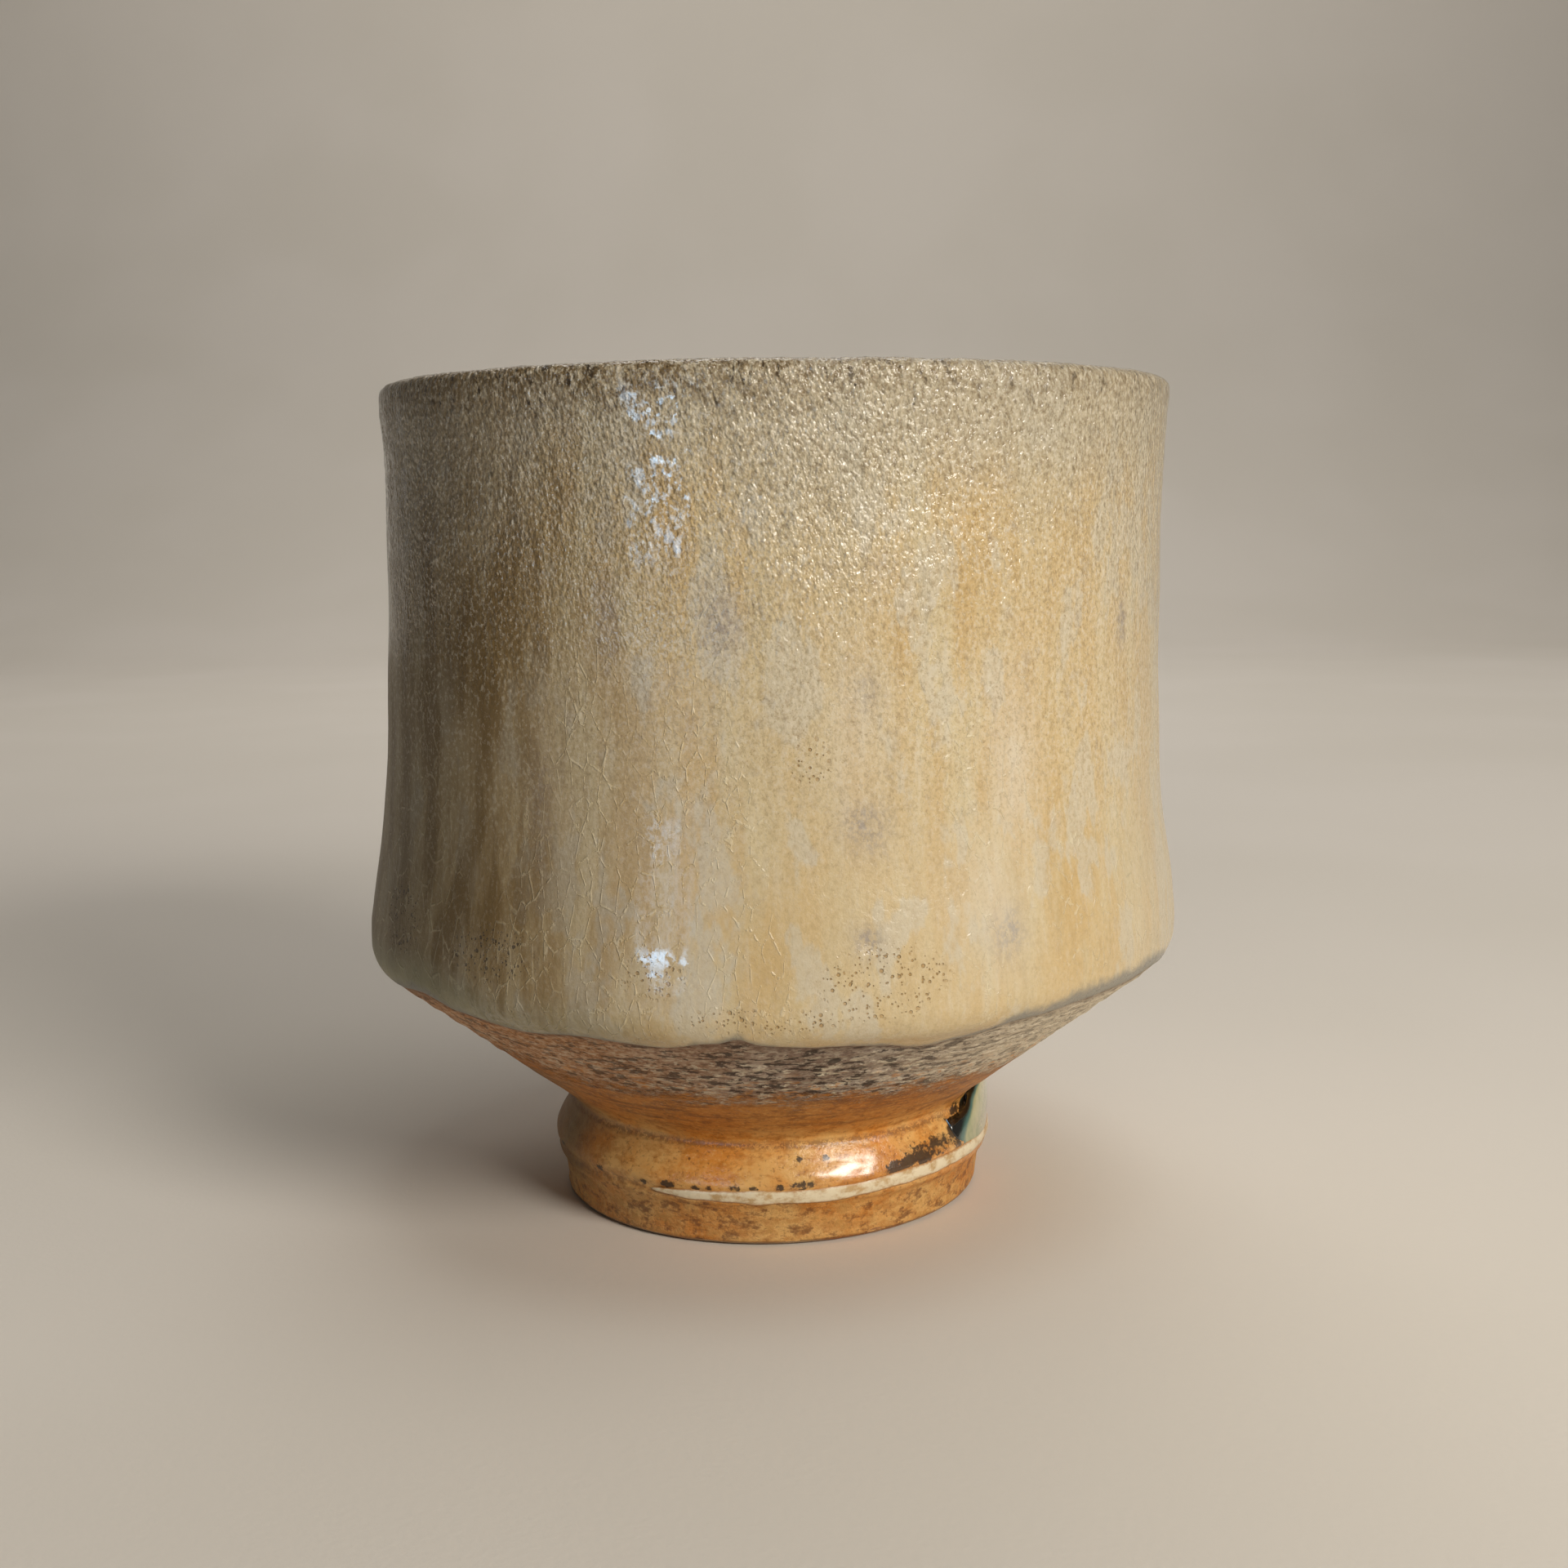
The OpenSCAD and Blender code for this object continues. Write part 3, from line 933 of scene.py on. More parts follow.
@dataclass(frozen=True)
class CreamGlaze:
    """Runny cream glaze: streaked and crazed on the wall, sugary and grey under the lip, and darkened on
    its left by painted shade.
    """

    name: str = "cream_glaze"
    cream: str = "d7c59d"
    ochre: str = "d2b47f"
    straw: str = "d6bf94"
    pale: str = "e2d7c2"
    milk: str = "d2c7af"
    mauve: str = "a59a90"
    brown: str = "8f7047"
    olive_and_painted_shade: str = "795e2f"
    sea: str = "7f8163"
    painted_dark_shade: str = "4d4531"
    top_grey: str = "c2b8a1"
    rim_brown: str = "75603f"
    fleck: str = "3f2f1e"
    craze: str = "f0e2bd"
    fringe: str = "85827a"
    stain: str = "a67c3b"
    iron: str = "23190f"
    top_z: Point = (77, 91)
    sugar_z: Point = (58, 84)
    rim_z: Point = (88.5, 94.5)
    lively_z: Point = (40, 60)
    shade_x: Point = (-4, -31)
    painted_dark_shade_x: Point = (-22, -40)
    wet_x: Point = (3, -4)

    def make(self) -> bpy.types.Material:
        """Build the material.

        Returns:
            The material.
        """
        s = Sheet(self.name)
        z, x = s.height(), s.across()
        clouds, stains, pits = s.marks("marks")
        broad = s.cloud(s.stretch(1, 1, 0.35), 0.055, 3.0)
        streak = s.cloud(s.stretch(1, 1, 0.20, 3.0), 0.24, 4.0, 0.6)
        thin = s.cloud(s.stretch(1, 1, 0.12, 9.0), 0.9, 3.0, 0.6)
        mottle = s.cloud(s.stretch(1, 1, 0.7, 5.0), 0.5, 4.0, 0.65)
        fine = s.cloud(s.stretch(1, 1, 0.8, 12.0), 1.7, 3.0, 0.7)
        grain = s.cloud(s.stretch(1, 1, 0.8, 2.0, 14.0), 2.2, 3.0, 0.7)
        patch = s.cloud(s.stretch(1, 1, 0.45, 8.0), 0.16, 4.0, 0.6)
        pebble = s.cloud(s.stretch(1, 1, 0.75, 6.0, 14.0), 2.3, 1.5, 0.5)
        swell = s.cloud(s.stretch(1, 1, 0.8, 16.0), 0.42, 2.0)
        rust = s.cloud(s.stretch(1, 1, 0.6, 4.0, 14.0), 1.2, 3.0, 0.7)
        crack = s.cracks(s.bend(s.stretch(1, 1, 0.45), 0.5, 0.30), 0.62)

        # Zones of the wall: grey top, sugary band, brown lip, a left side darkened by painted shade, and
        # lively middle.
        top = (z + (broad - 0.5) * 24 + (streak - 0.5) * 12).ramp(*self.top_z)
        sugar = (z + (broad - 0.5) * 18 + (mottle - 0.5) * 8).ramp(*self.sugar_z)
        rim = (z + (mottle - 0.5) * 10).ramp(*self.rim_z)
        lip = rim * (0.45 + 0.55 * x.ramp(22, -12))
        # Painted shade: this mask darkens the left side of the wall, partly an olive glaze and partly shade
        # painted into the colour.
        shaded = x.ramp(*self.shade_x)
        lively = 0.35 + 0.65 * z.ramp(*self.lively_z)
        bead = pebble.ramp(0.36, 0.54)
        edge = s.layer("edge_gap") + (mottle - 0.5) * 1.8 + (fine - 0.5) * 0.6

        crazed = (1 - sugar) * (fine + 0.06 * shaded).ramp(0.47, 0.57) * broad.ramp(0.62, 0.46)
        lines = crack.ramp(0.05, 0.01) * crazed
        rusty = rust.ramp(0.56, 0.66) * (top * 0.25 + lip * 0.9).least(0.9)
        irons = s.dots(0.10, 0.30, 0.9, 7.0)
        irons = irons.most(s.dots(0.36, 0.32, 0.5, 21.0) * (top * 0.5 + lip).least(1.0))
        holes = s.dots(1.7, 0.25, 0.7, 11.0).most(s.dots(2.9, 0.15, 0.7, 31.0)) * pits.ramp(0.12, 0.45)
        # Pits go from stain to iron black towards the left, following the painted-shade mask.
        pit_colour = s.mix(shaded.ramp(0.5, 0.8), self.stain, self.iron)
        browned = 0.24 * lively + 0.10 * sugar + 0.16 * top
        frosted = 0.30 * lively + 0.44 * sugar * bead
        colour = s.lay(
            self.ochre,
            (streak.ramp(0.36, 0.66), self.cream),
            (broad.ramp(0.45, 0.62) * 0.55, self.straw),
            (thin.ramp(0.52, 0.74) * 0.25, self.pale),
            (thin.ramp(0.50, 0.32) * (0.10 + 0.30 * shaded), self.brown),
            (patch.ramp(0.53, 0.585) * (0.4 + 0.5 * fine), self.milk),
            (mottle.ramp(0.55, 0.70) * lively * 0.28, self.mauve),
            (fine.ramp(0.48, 0.36) * lively * 0.26, self.brown),
            (fine.ramp(0.53, 0.66) * lively * 0.36, self.pale),
            (x.ramp(33, 43) * 0.4, self.milk),
            # Painted shade: the left side turns olive, partly its own olive glaze and partly painted shade.
            (shaded * (0.52 + 0.45 * streak.ramp(0.60, 0.38)), self.olive_and_painted_shade),
            # Painted shade: the far left is darkened further.
            (x.ramp(*self.painted_dark_shade_x) * 0.45, self.painted_dark_shade),
            (clouds * (0.35 + 0.65 * fine.ramp(0.58, 0.40)), self.mauve),
            (stains * (0.3 + 0.7 * thin), self.pale),
            # The grey top is held back on the left, so that the painted shade stays dark there.
            (top * (0.75 - 0.4 * shaded), self.top_grey),
            ((1 - bead) * sugar * (0.13 + 0.18 * top), self.rim_brown),
            (grain.ramp(0.48, 0.36) * browned, self.rim_brown),
            (grain.ramp(0.52, 0.64) * frosted, self.pale),
            (lip * (0.2 + 0.8 * fine.ramp(0.56, 0.44)), self.rim_brown),
            (lip * fine.ramp(0.56, 0.66) * 0.5, self.pale),
            (lines * (0.33 - 0.10 * shaded), self.craze),
            (s.specks(3.0, 0.62, 1.0) * lively * 0.34, self.brown),
            (rusty, self.fleck),
            (irons * 0.85, self.iron),
            (holes * 0.66, pit_colour),
            (edge.ramp(4.2, 0.4) * 0.35, self.straw),
            (edge.ramp(6.0, 1.0) * shaded * 0.6, self.sea),
            ((edge - 0.8 * x.ramp(12, 26)).ramp(1.5, 0.25) * 0.85, self.fringe),
        )

        relief = grain * (0.045 + 0.01 * sugar) + pebble * (0.02 + 0.30 * sugar) + swell * sugar * 0.34
        relief = relief + thin * 0.015 + fine * (0.035 - 0.02 * sugar + 0.06 * pits)
        relief = relief - holes * 0.12 + lines * 0.05
        dry = (1 - sugar.ramp(0.08, 0.5)) * (0.18 + (mottle - 0.5) * 0.10 + x.ramp(4, -20) * 0.2)
        rough = 0.08 + dry + edge.ramp(1.2, 0.2) * 0.25

        # Glossy patches at the left: two runs over the shoulder, a faint one above, and one under the lip.
        glossy = x.ramp(*self.wet_x)
        between = z.ramp(33.6, 34.1) * z.ramp(36.2, 35.7)
        runs = (z.ramp(39.4, 38) - between).most(z.ramp(54, 51) * 0.22)
        wet = glossy * x.ramp(-36, -26) * edge.ramp(0.3, 1.5) * runs
        high = glossy * z.ramp(74, 78) * z.ramp(93.5, 90)
        gloss = wet * (thin * 0.4 + grain * 0.6).ramp(0.44, 0.54)
        gloss = gloss + high * (mottle * 0.35 + fine * 0.35 + grain * 0.3).ramp(0.495, 0.55)
        return s.finish(colour, rough, relief, coat_weight=gloss, coat_roughness=0.07, ior=1.5)


@dataclass(frozen=True)
class LinerGlaze:
    """The same glaze inside, glossier, with a greenish pool on the floor."""

    name: str = "liner_glaze"
    cream: str = "d9c496"
    ochre: str = "c5a468"
    pale: str = "ddd2b8"
    pool: str = "a9ab83"
    craze: str = "7f6b47"
    rim_brown: str = "77603f"
    top_grey: str = "b7ab8f"
    fleck: str = "4c3a24"
    top_z: Point = (80, 93)
    rim_z: Point = (89.5, 94.0)
    pool_z: Point = (24.0, 18.8)

    def make(self) -> bpy.types.Material:
        """Build the material.

        Returns:
            The material.
        """
        s = Sheet(self.name)
        z = s.height()
        broad = s.cloud(s.stretch(1, 1, 0.35), 0.055, 3.0)
        streak = s.cloud(s.stretch(1, 1, 0.22, 3.0), 0.3, 4.0, 0.6)
        mottle = s.cloud(s.stretch(1, 1, 0.6, 5.0), 0.55, 4.0, 0.65)
        grain = s.cloud(s.stretch(1, 1, 0.45, 2.0), 1.9, 3.0, 0.6)
        crack = s.cracks(s.bend(s.stretch(1, 1, 0.8), 0.5, 0.9), 0.3)
        top = (z + (broad - 0.5) * 22 + (streak - 0.5) * 8).ramp(*self.top_z)
        rim = (z + (mottle - 0.5) * 9).ramp(*self.rim_z)
        pool = (z + (mottle - 0.5) * 3).ramp(*self.pool_z)
        colour = s.lay(
            self.ochre,
            (streak.ramp(0.36, 0.66), self.cream),
            (mottle.ramp(0.5, 0.72) * 0.5, self.pale),
            (pool * 0.75, self.pool),
            (top * 0.7, self.top_grey),
            (grain.ramp(0.5, 0.3) * top * 0.5, self.rim_brown),
            (rim * (0.35 + 0.6 * grain.ramp(0.62, 0.38)), self.rim_brown),
            (crack.ramp(0.035, 0.008) * (1 - top) * 0.4, self.craze),
            (s.dots(1.1, 0.2, 0.3, 1.0) * 0.45, self.rim_brown),
            (s.dots(0.85, 0.34, 0.35, 4.0) * top * 0.8, self.fleck),
        )
        relief = grain * (0.012 + 0.09 * top) + mottle * 0.03
        return s.finish(colour, 0.16 + 0.14 * top, relief, ior=1.5)


@dataclass(frozen=True)
class FiredSlope:
    """Colours under the glaze, shared by crust and flashing so that one passes into the other."""

    grey: str = "ac9c8d"
    mauve: str = "917b6a"
    umber: str = "6b5140"
    pale: str = "e0d2b8"
    dark: str = "37291f"
    rust: str = "bd8046"
    orange: str = "dc9039"
    deep: str = "b26a18"
    glow: str = "e8b76e"
    brown: str = "6a3a14"
    border_z: Point = (18.0, 21.4)
    neck_z: Point = (11.0, 15.5)

    def border(self, s: Sheet) -> Value:
        """1 on the crust and 0 on the flashing, which climbs higher at the left.

        Args:
            s: The finish's sheet.

        Returns:
            The share of crust.
        """
        x, z = s.across(), s.height()
        torn = s.cloud(s.stretch(0.4, 0.4, 1.2, 2.0), 0.8, 4.0, 0.65)
        grain = s.cloud(s.stretch(0.8, 0.8, 1.2, 1.0), 1.9, 3.0, 0.65)
        climb = x.ramp(-14, -42) * 3.0 - x.ramp(16, 36) * 1.5
        return (z - climb + (torn - 0.5) * 9 + (grain - 0.5) * 5).ramp(*self.border_z)

    @staticmethod
    def torn(s: Sheet) -> tuple[Value, Value]:
        """Dark tears and pale tatters along the turning marks.

        Args:
            s: The finish's sheet.

        Returns:
            The noise of each.
        """
        tear = s.cloud(s.bend(s.stretch(0.35, 0.35, 1.1, 2.0), 0.6, 0.9), 1.4, 4.0, 0.66)
        tatter = s.cloud(s.bend(s.stretch(0.45, 0.45, 1.1, 5.0), 0.9, 0.6), 1.3, 3.0, 0.62)
        return tear, tatter

    def crust(self, s: Sheet) -> bpy.types.NodeSocket:
        """Colour of the dry crust: brown and grey, greyer and lighter at the right partly as painted light,
        with pale tatters low down.

        Args:
            s: The finish's sheet.

        Returns:
            The colour.
        """
        x, z = s.across(), s.height()
        tear, tatter = self.torn(s)
        cloud = s.cloud(s.stretch(1, 1, 1, 8.0), 0.12, 3.0)
        grain = s.cloud(s.stretch(0.7, 0.7, 1.2, 1.0), 1.9, 3.0, 0.65)
        right, left = x.ramp(6, 30), x.ramp(6, -26)
        low = z.ramp(28.5, 24.5)
        tattered = 0.9 - 0.6 * right - 0.5 * left
        return s.lay(
            self.mauve,
            (cloud.ramp(0.40, 0.62), self.grey),
            # Painted light: the right is lightened towards grey and pale, partly its own greyer ash and
            # partly painted light; its dark tears thin out there too.
            (right * 0.7, self.grey),
            (right * 0.9, self.pale),
            (left * 0.8, self.rust),
            (grain.ramp(0.46, 0.62) * 0.35, self.pale),
            (grain.ramp(0.48, 0.34) * 0.55, self.umber),
            (tatter.ramp(0.54, 0.60) * low * tattered, self.pale),
            (tear.ramp(0.48, 0.42) * (0.9 - 0.52 * right - 0.30 * left), self.dark),
            (tear.ramp(0.56, 0.64) * z.ramp(25.0, 21.0) * 0.6, self.orange),
        )

    def flash(self, s: Sheet) -> bpy.types.NodeSocket:
        """Colour of the flashing: orange, deeper on the neck partly as painted shade, clouded and grained.

        Args:
            s: The finish's sheet.

        Returns:
            The colour.
        """
        cloud = s.cloud(s.stretch(1, 1, 1.2, 4.0), 0.14, 4.0, 0.6)
        mottle = s.cloud(s.stretch(0.7, 0.7, 1.4, 6.0), 0.7, 4.0, 0.65)
        grain = s.cloud(s.stretch(1, 1, 1, 3.0), 2.0, 3.0, 0.65)
        turned = s.cloud(s.stretch(0.06, 0.06, 1.6, 2.0), 1.0, 2.0)
        neck = (s.height() + (turned - 0.5) * 2.0).ramp(*self.neck_z)
        return s.lay(
            self.orange,
            (cloud.ramp(0.36, 0.64), self.glow),
            (mottle.ramp(0.56, 0.38) * 0.5, self.deep),
            # Painted shade: the neck under the bowl is darkened to deep orange and brown, partly its own
            # tone; the turning lines on it are its own.
            (neck * 0.8, self.deep),
            (neck * turned.ramp(0.52, 0.36) * 0.5, self.brown),
            (neck * mottle.ramp(0.50, 0.38) * 0.5, self.brown),
            (grain.ramp(0.46, 0.30) * 0.5, self.brown),
            (grain.ramp(0.53, 0.66) * (0.4 - 0.1 * neck), self.glow),
        )


@dataclass(frozen=True)
class AshCrust(FiredSlope):
    """Dry crust where ash met bare clay, torn along the turning marks."""

    name: str = "ash_crust"

    def make(self) -> bpy.types.Material:
        """Build the material.

        Returns:
            The material.
        """
        s = Sheet(self.name)
        ash = self.border(s)
        tear, tatter = self.torn(s)
        grain = s.cloud(s.stretch(1, 1, 1.2, 1.0), 1.9, 3.0, 0.65)
        under_glaze = s.layer("along").ramp(0.12, 0.0)
        colour = s.lay(self.flash(s), (ash, self.crust(s)), (under_glaze * 0.6, self.umber))
        relief = ash * (tear * 0.35 + tatter * 0.25) + grain * 0.14
        return s.finish(colour, 0.52 + 0.2 * ash, relief, specular_ior_level=0.3)


@dataclass(frozen=True)
class OrangeFlash(FiredSlope):
    """Orange flashing slip, glossy on the round of the foot, drier on its base and at the left."""

    name: str = "orange_flash"
    black: str = "291c10"
    veil: str = "6c5731"
    buff: str = "c08d48"
    base_z: Point = (5.9, 5.1)
    gloss_z: Point = (10.2, 9.0)
    gloss_x: Point = (-5, 3)

    def make(self) -> bpy.types.Material:
        """Build the material.

        Returns:
            The material.
        """
        s = Sheet(self.name)
        z = s.height()
        dark, veil, line_gap = s.marks("marks")
        ash = self.border(s)
        tear, tatter = self.torn(s)
        cloud = s.cloud(s.stretch(1, 1, 1.2, 4.0), 0.14, 4.0, 0.6)
        mottle = s.cloud(s.stretch(0.8, 0.8, 1.3, 6.0), 0.6, 4.0, 0.7)
        grain = s.cloud(s.stretch(1, 1, 1, 3.0), 2.0, 3.0, 0.65)
        base = (z + (mottle - 0.5) * 0.8).ramp(*self.base_z)
        crease = z.ramp(10.7, 11.3) * z.ramp(12.1, 11.5)
        broken = dark.least(0.8) + (mottle - 0.5) * 1.6 + (grain - 0.5) * 1.2
        colour = s.lay(
            self.flash(s),
            (base * 0.14, self.brown),
            (base * mottle.ramp(0.50, 0.36) * 0.7, self.brown),
            (base * mottle.ramp(0.52, 0.66) * 0.75, self.buff),
            (s.dots(0.42, 0.34, 0.35, 2.0) * 0.75, self.brown),
            (veil * (0.55 + 0.4 * cloud), self.veil),
            # Painted shade: a thin broken brown line in the crease under the bowl.
            (crease * grain.ramp(0.42, 0.52) * 0.6, self.brown),
            (line_gap * mottle.ramp(0.46, 0.56) * 0.45, self.brown),
            (broken.ramp(0.46, 0.74) * dark.ramp(0.05, 0.3) * 0.9, self.black),
            (ash, self.crust(s)),
        )
        relief = grain * (0.05 + 0.08 * base) + mottle * 0.10 + ash * (tear * 0.35 + tatter * 0.25)
        dull = (ash + veil * 0.7 + z.ramp(10.5, 13.0) * 0.5).least(1.0)
        rough = 0.30 + base * 0.24 + (mottle - 0.5) * 0.16 + dull * 0.32
        gloss = (1 - base) * (1 - ash) * (1 - veil) * z.ramp(*self.gloss_z) * s.across().ramp(*self.gloss_x)
        return s.finish(colour, rough, relief, coat_weight=gloss, coat_roughness=0.18, ior=1.5)


@dataclass(frozen=True)
class WhiteGlaze:
    """Thick white glaze lying in the foot's groove, stained by the flashing."""

    name: str = "white_line"
    white: str = "efe0bf"
    stain: str = "c9a673"
    bleed: str = "b5762f"
    dark: str = "5e4326"

    def make(self) -> bpy.types.Material:
        """Build the material.

        Returns:
            The material.
        """
        s = Sheet(self.name)
        patchy = s.cloud(s.stretch(1, 1, 1.5), 0.5, 4.0, 0.65)
        grain = s.cloud(s.mm, 2.0, 3.0)
        border = s.layer("border") + (grain - 0.5) * 0.5
        colour = s.lay(
            self.white,
            (patchy.ramp(0.44, 0.68), self.stain),
            (border.ramp(0.62, 0.98) * 0.8, self.bleed),
            (s.dots(0.5, 0.26, 0.3, 5.0) * 0.7, self.dark),
        )
        return s.finish(colour, 0.26 + 0.2 * patchy, grain * 0.05, ior=1.5)


@dataclass(frozen=True)
class GreenGlass:
    """Melted ash that ran together as green glass, darkest where it is thin and at its rim."""

    name: str = "green_glass"
    pale: str = "b8b288"
    green: str = "939a6e"
    teal: str = "4d6f66"
    black: str = "15140e"

    def make(self) -> bpy.types.Material:
        """Build the material.

        Returns:
            The material.
        """
        s = Sheet(self.name)
        depth = s.layer("depth")
        flow = s.cloud(s.stretch(1, 1, 0.6), 0.35, 4.0, 0.6)
        colour = s.lay(
            self.pale,
            (flow.ramp(0.35, 0.66), self.green),
            ((depth + (flow - 0.5) * 0.35).ramp(0.56, 0.22), self.teal),
            ((depth + (flow - 0.5) * 0.3).ramp(0.24, 0.04), self.black),
            (s.dots(0.8, 0.2, 0.3, 3.0) * 0.35, self.teal),
        )
        coat = {"coat_weight": 1.0, "coat_roughness": 0.04}
        return s.finish(colour, 0.12 + 0.1 * flow, flow * 0.08, ior=1.52, **coat)


@dataclass(frozen=True)
class BareClay:
    """Fired stoneware without glaze, buff, with sand and iron in it."""

    name: str = "stoneware"
    buff: str = "a98d6c"
    warm: str = "a8703f"
    sand: str = "c9b697"
    iron: str = "4a3120"

    def make(self) -> bpy.types.Material:
        """Build the material.

        Returns:
            The material.
        """
        s = Sheet(self.name)
        cloud = s.cloud(s.mm, 0.11, 4.0, 0.6)
        grain = s.cloud(s.stretch(1, 1, 1, 2.0), 1.6, 4.0, 0.7)
        colour = s.lay(
            self.buff,
            (cloud.ramp(0.4, 0.64), self.warm),
            (grain.ramp(0.56, 0.72) * 0.6, self.sand),
            (grain.ramp(0.40, 0.28) * 0.5, self.iron),
            (s.dots(0.45, 0.3, 0.4, 6.0) * 0.75, self.iron),
            (s.dots(0.6, 0.34, 0.3, 9.0) * 0.6, self.sand),
        )
        return s.finish(colour, 0.74 + 0.16 * (grain - 0.5), grain * 0.16 + cloud * 0.1, ior=1.45)


@dataclass(frozen=True)
class JointSlip:
    """Slip that squeezed out where the foot was joined on."""

    name: str = "joint_slip"
    brown: str = "86694a"
    light: str = "a88f6e"

    def make(self) -> bpy.types.Material:
        """Build the material.

        Returns:
            The material.
        """
        s = Sheet(self.name)
        grain = s.cloud(s.mm, 1.1, 4.0, 0.65)
        colour = s.mix(grain.ramp(0.38, 0.64), self.brown, self.light)
        return s.finish(colour, 0.7 + 0.2 * (grain - 0.5), grain * 0.12, ior=1.45)


@dataclass(frozen=True)
class PaleFloor:
    """Plain pale studio paper."""

    name: str = "pale_floor"
    paper: str = "efe8de"
    shade: str = "ebe4d9"

    def make(self) -> bpy.types.Material:
        """Build the material.

        Returns:
            The material.
        """
        s = Sheet(self.name)
        colour = s.mix(s.cloud(s.mm, 0.006, 2.0).ramp(0.35, 0.65), self.paper, self.shade)
        return s.finish(colour, 0.9, s.cloud(s.mm, 1.2, 2.0) * 0.03, specular_ior_level=0.2)


@dataclass(frozen=True)
class SugaredLip:
    """Bumps of the glaze near the lip, the same on both coats so that they meet; sizes in mm."""

    near_z: Point = (66.0, 90.0)
    bumps: tuple[Triple, ...] = ((0.06, 0.9, 0.6), (0.04, 1.7, 1.1), (0.06, 0.33, 0.30))
    crown_z: Point = (91.0, 94.2)
    crown_waves: Triple = (0.10, 0.42, 5.0)
    crown_worn: float = 0.12
    corner: float = 0.30
    corner_z: float = 93.95
    corner_half: float = 0.5
    corner_r: Point = (43.05, 43.6)

    def relief(self, az: float, r: float, z: float) -> float:
        """How far the glaze stands out at a place.

        Args:
            az: Azimuth in degrees.
            r: Radius of the clay in mm.
            z: Height of the clay in mm.

        Returns:
            The relief in mm.
        """
        x, y = around(az, r)
        bumps = sum(size * ripple(pace * x, pace * y, up * z) for size, pace, up in self.bumps)
        size, pace, shift = self.crown_waves
        crown = size * ripple(pace * x, pace * y, shift) - self.crown_worn
        corner = self.corner * bell(z - self.corner_z, self.corner_half) * ramp(r, *self.corner_r)
        return ramp(z, *self.near_z) * bumps + ramp(z, *self.crown_z) * crown + corner


@dataclass
class Layer:
    """What the sub-assemblies share: outline, hand, the glaze's edge, the groove and the lip."""

    outline: Outline = field(default_factory=Outline)
    hand: Hand = field(default_factory=Hand)
    edge: GlazeEdge = field(default_factory=GlazeEdge)
    groove: FootGroove = field(default_factory=FootGroove)
    lip: SugaredLip = field(default_factory=SugaredLip)
    crease_ease: tuple[float, float, int] = (8.4, 16.4, 160)

    def skin_path(self) -> Path:
        """Path that ash and flashing lie on: down the outside and the foot, with the crease bridged."""
        return Path([*self.outline.outside(), *self.outline.foot()], ease=self.crease_ease)

    def lifted(self, az: float, at: tuple[float, float, float, float], out: float) -> Vector:
        """Place of a point that stands out from a path.

        Args:
            az: Azimuth in degrees.
            at: Radius, height and outward direction on the path.
            out: How far it stands out, in mm.

        Returns:
            The place in metres.
        """
        r, z, out_r, out_z = at
        return self.hand.place(r + out_r * out, az, z + out_z * out)


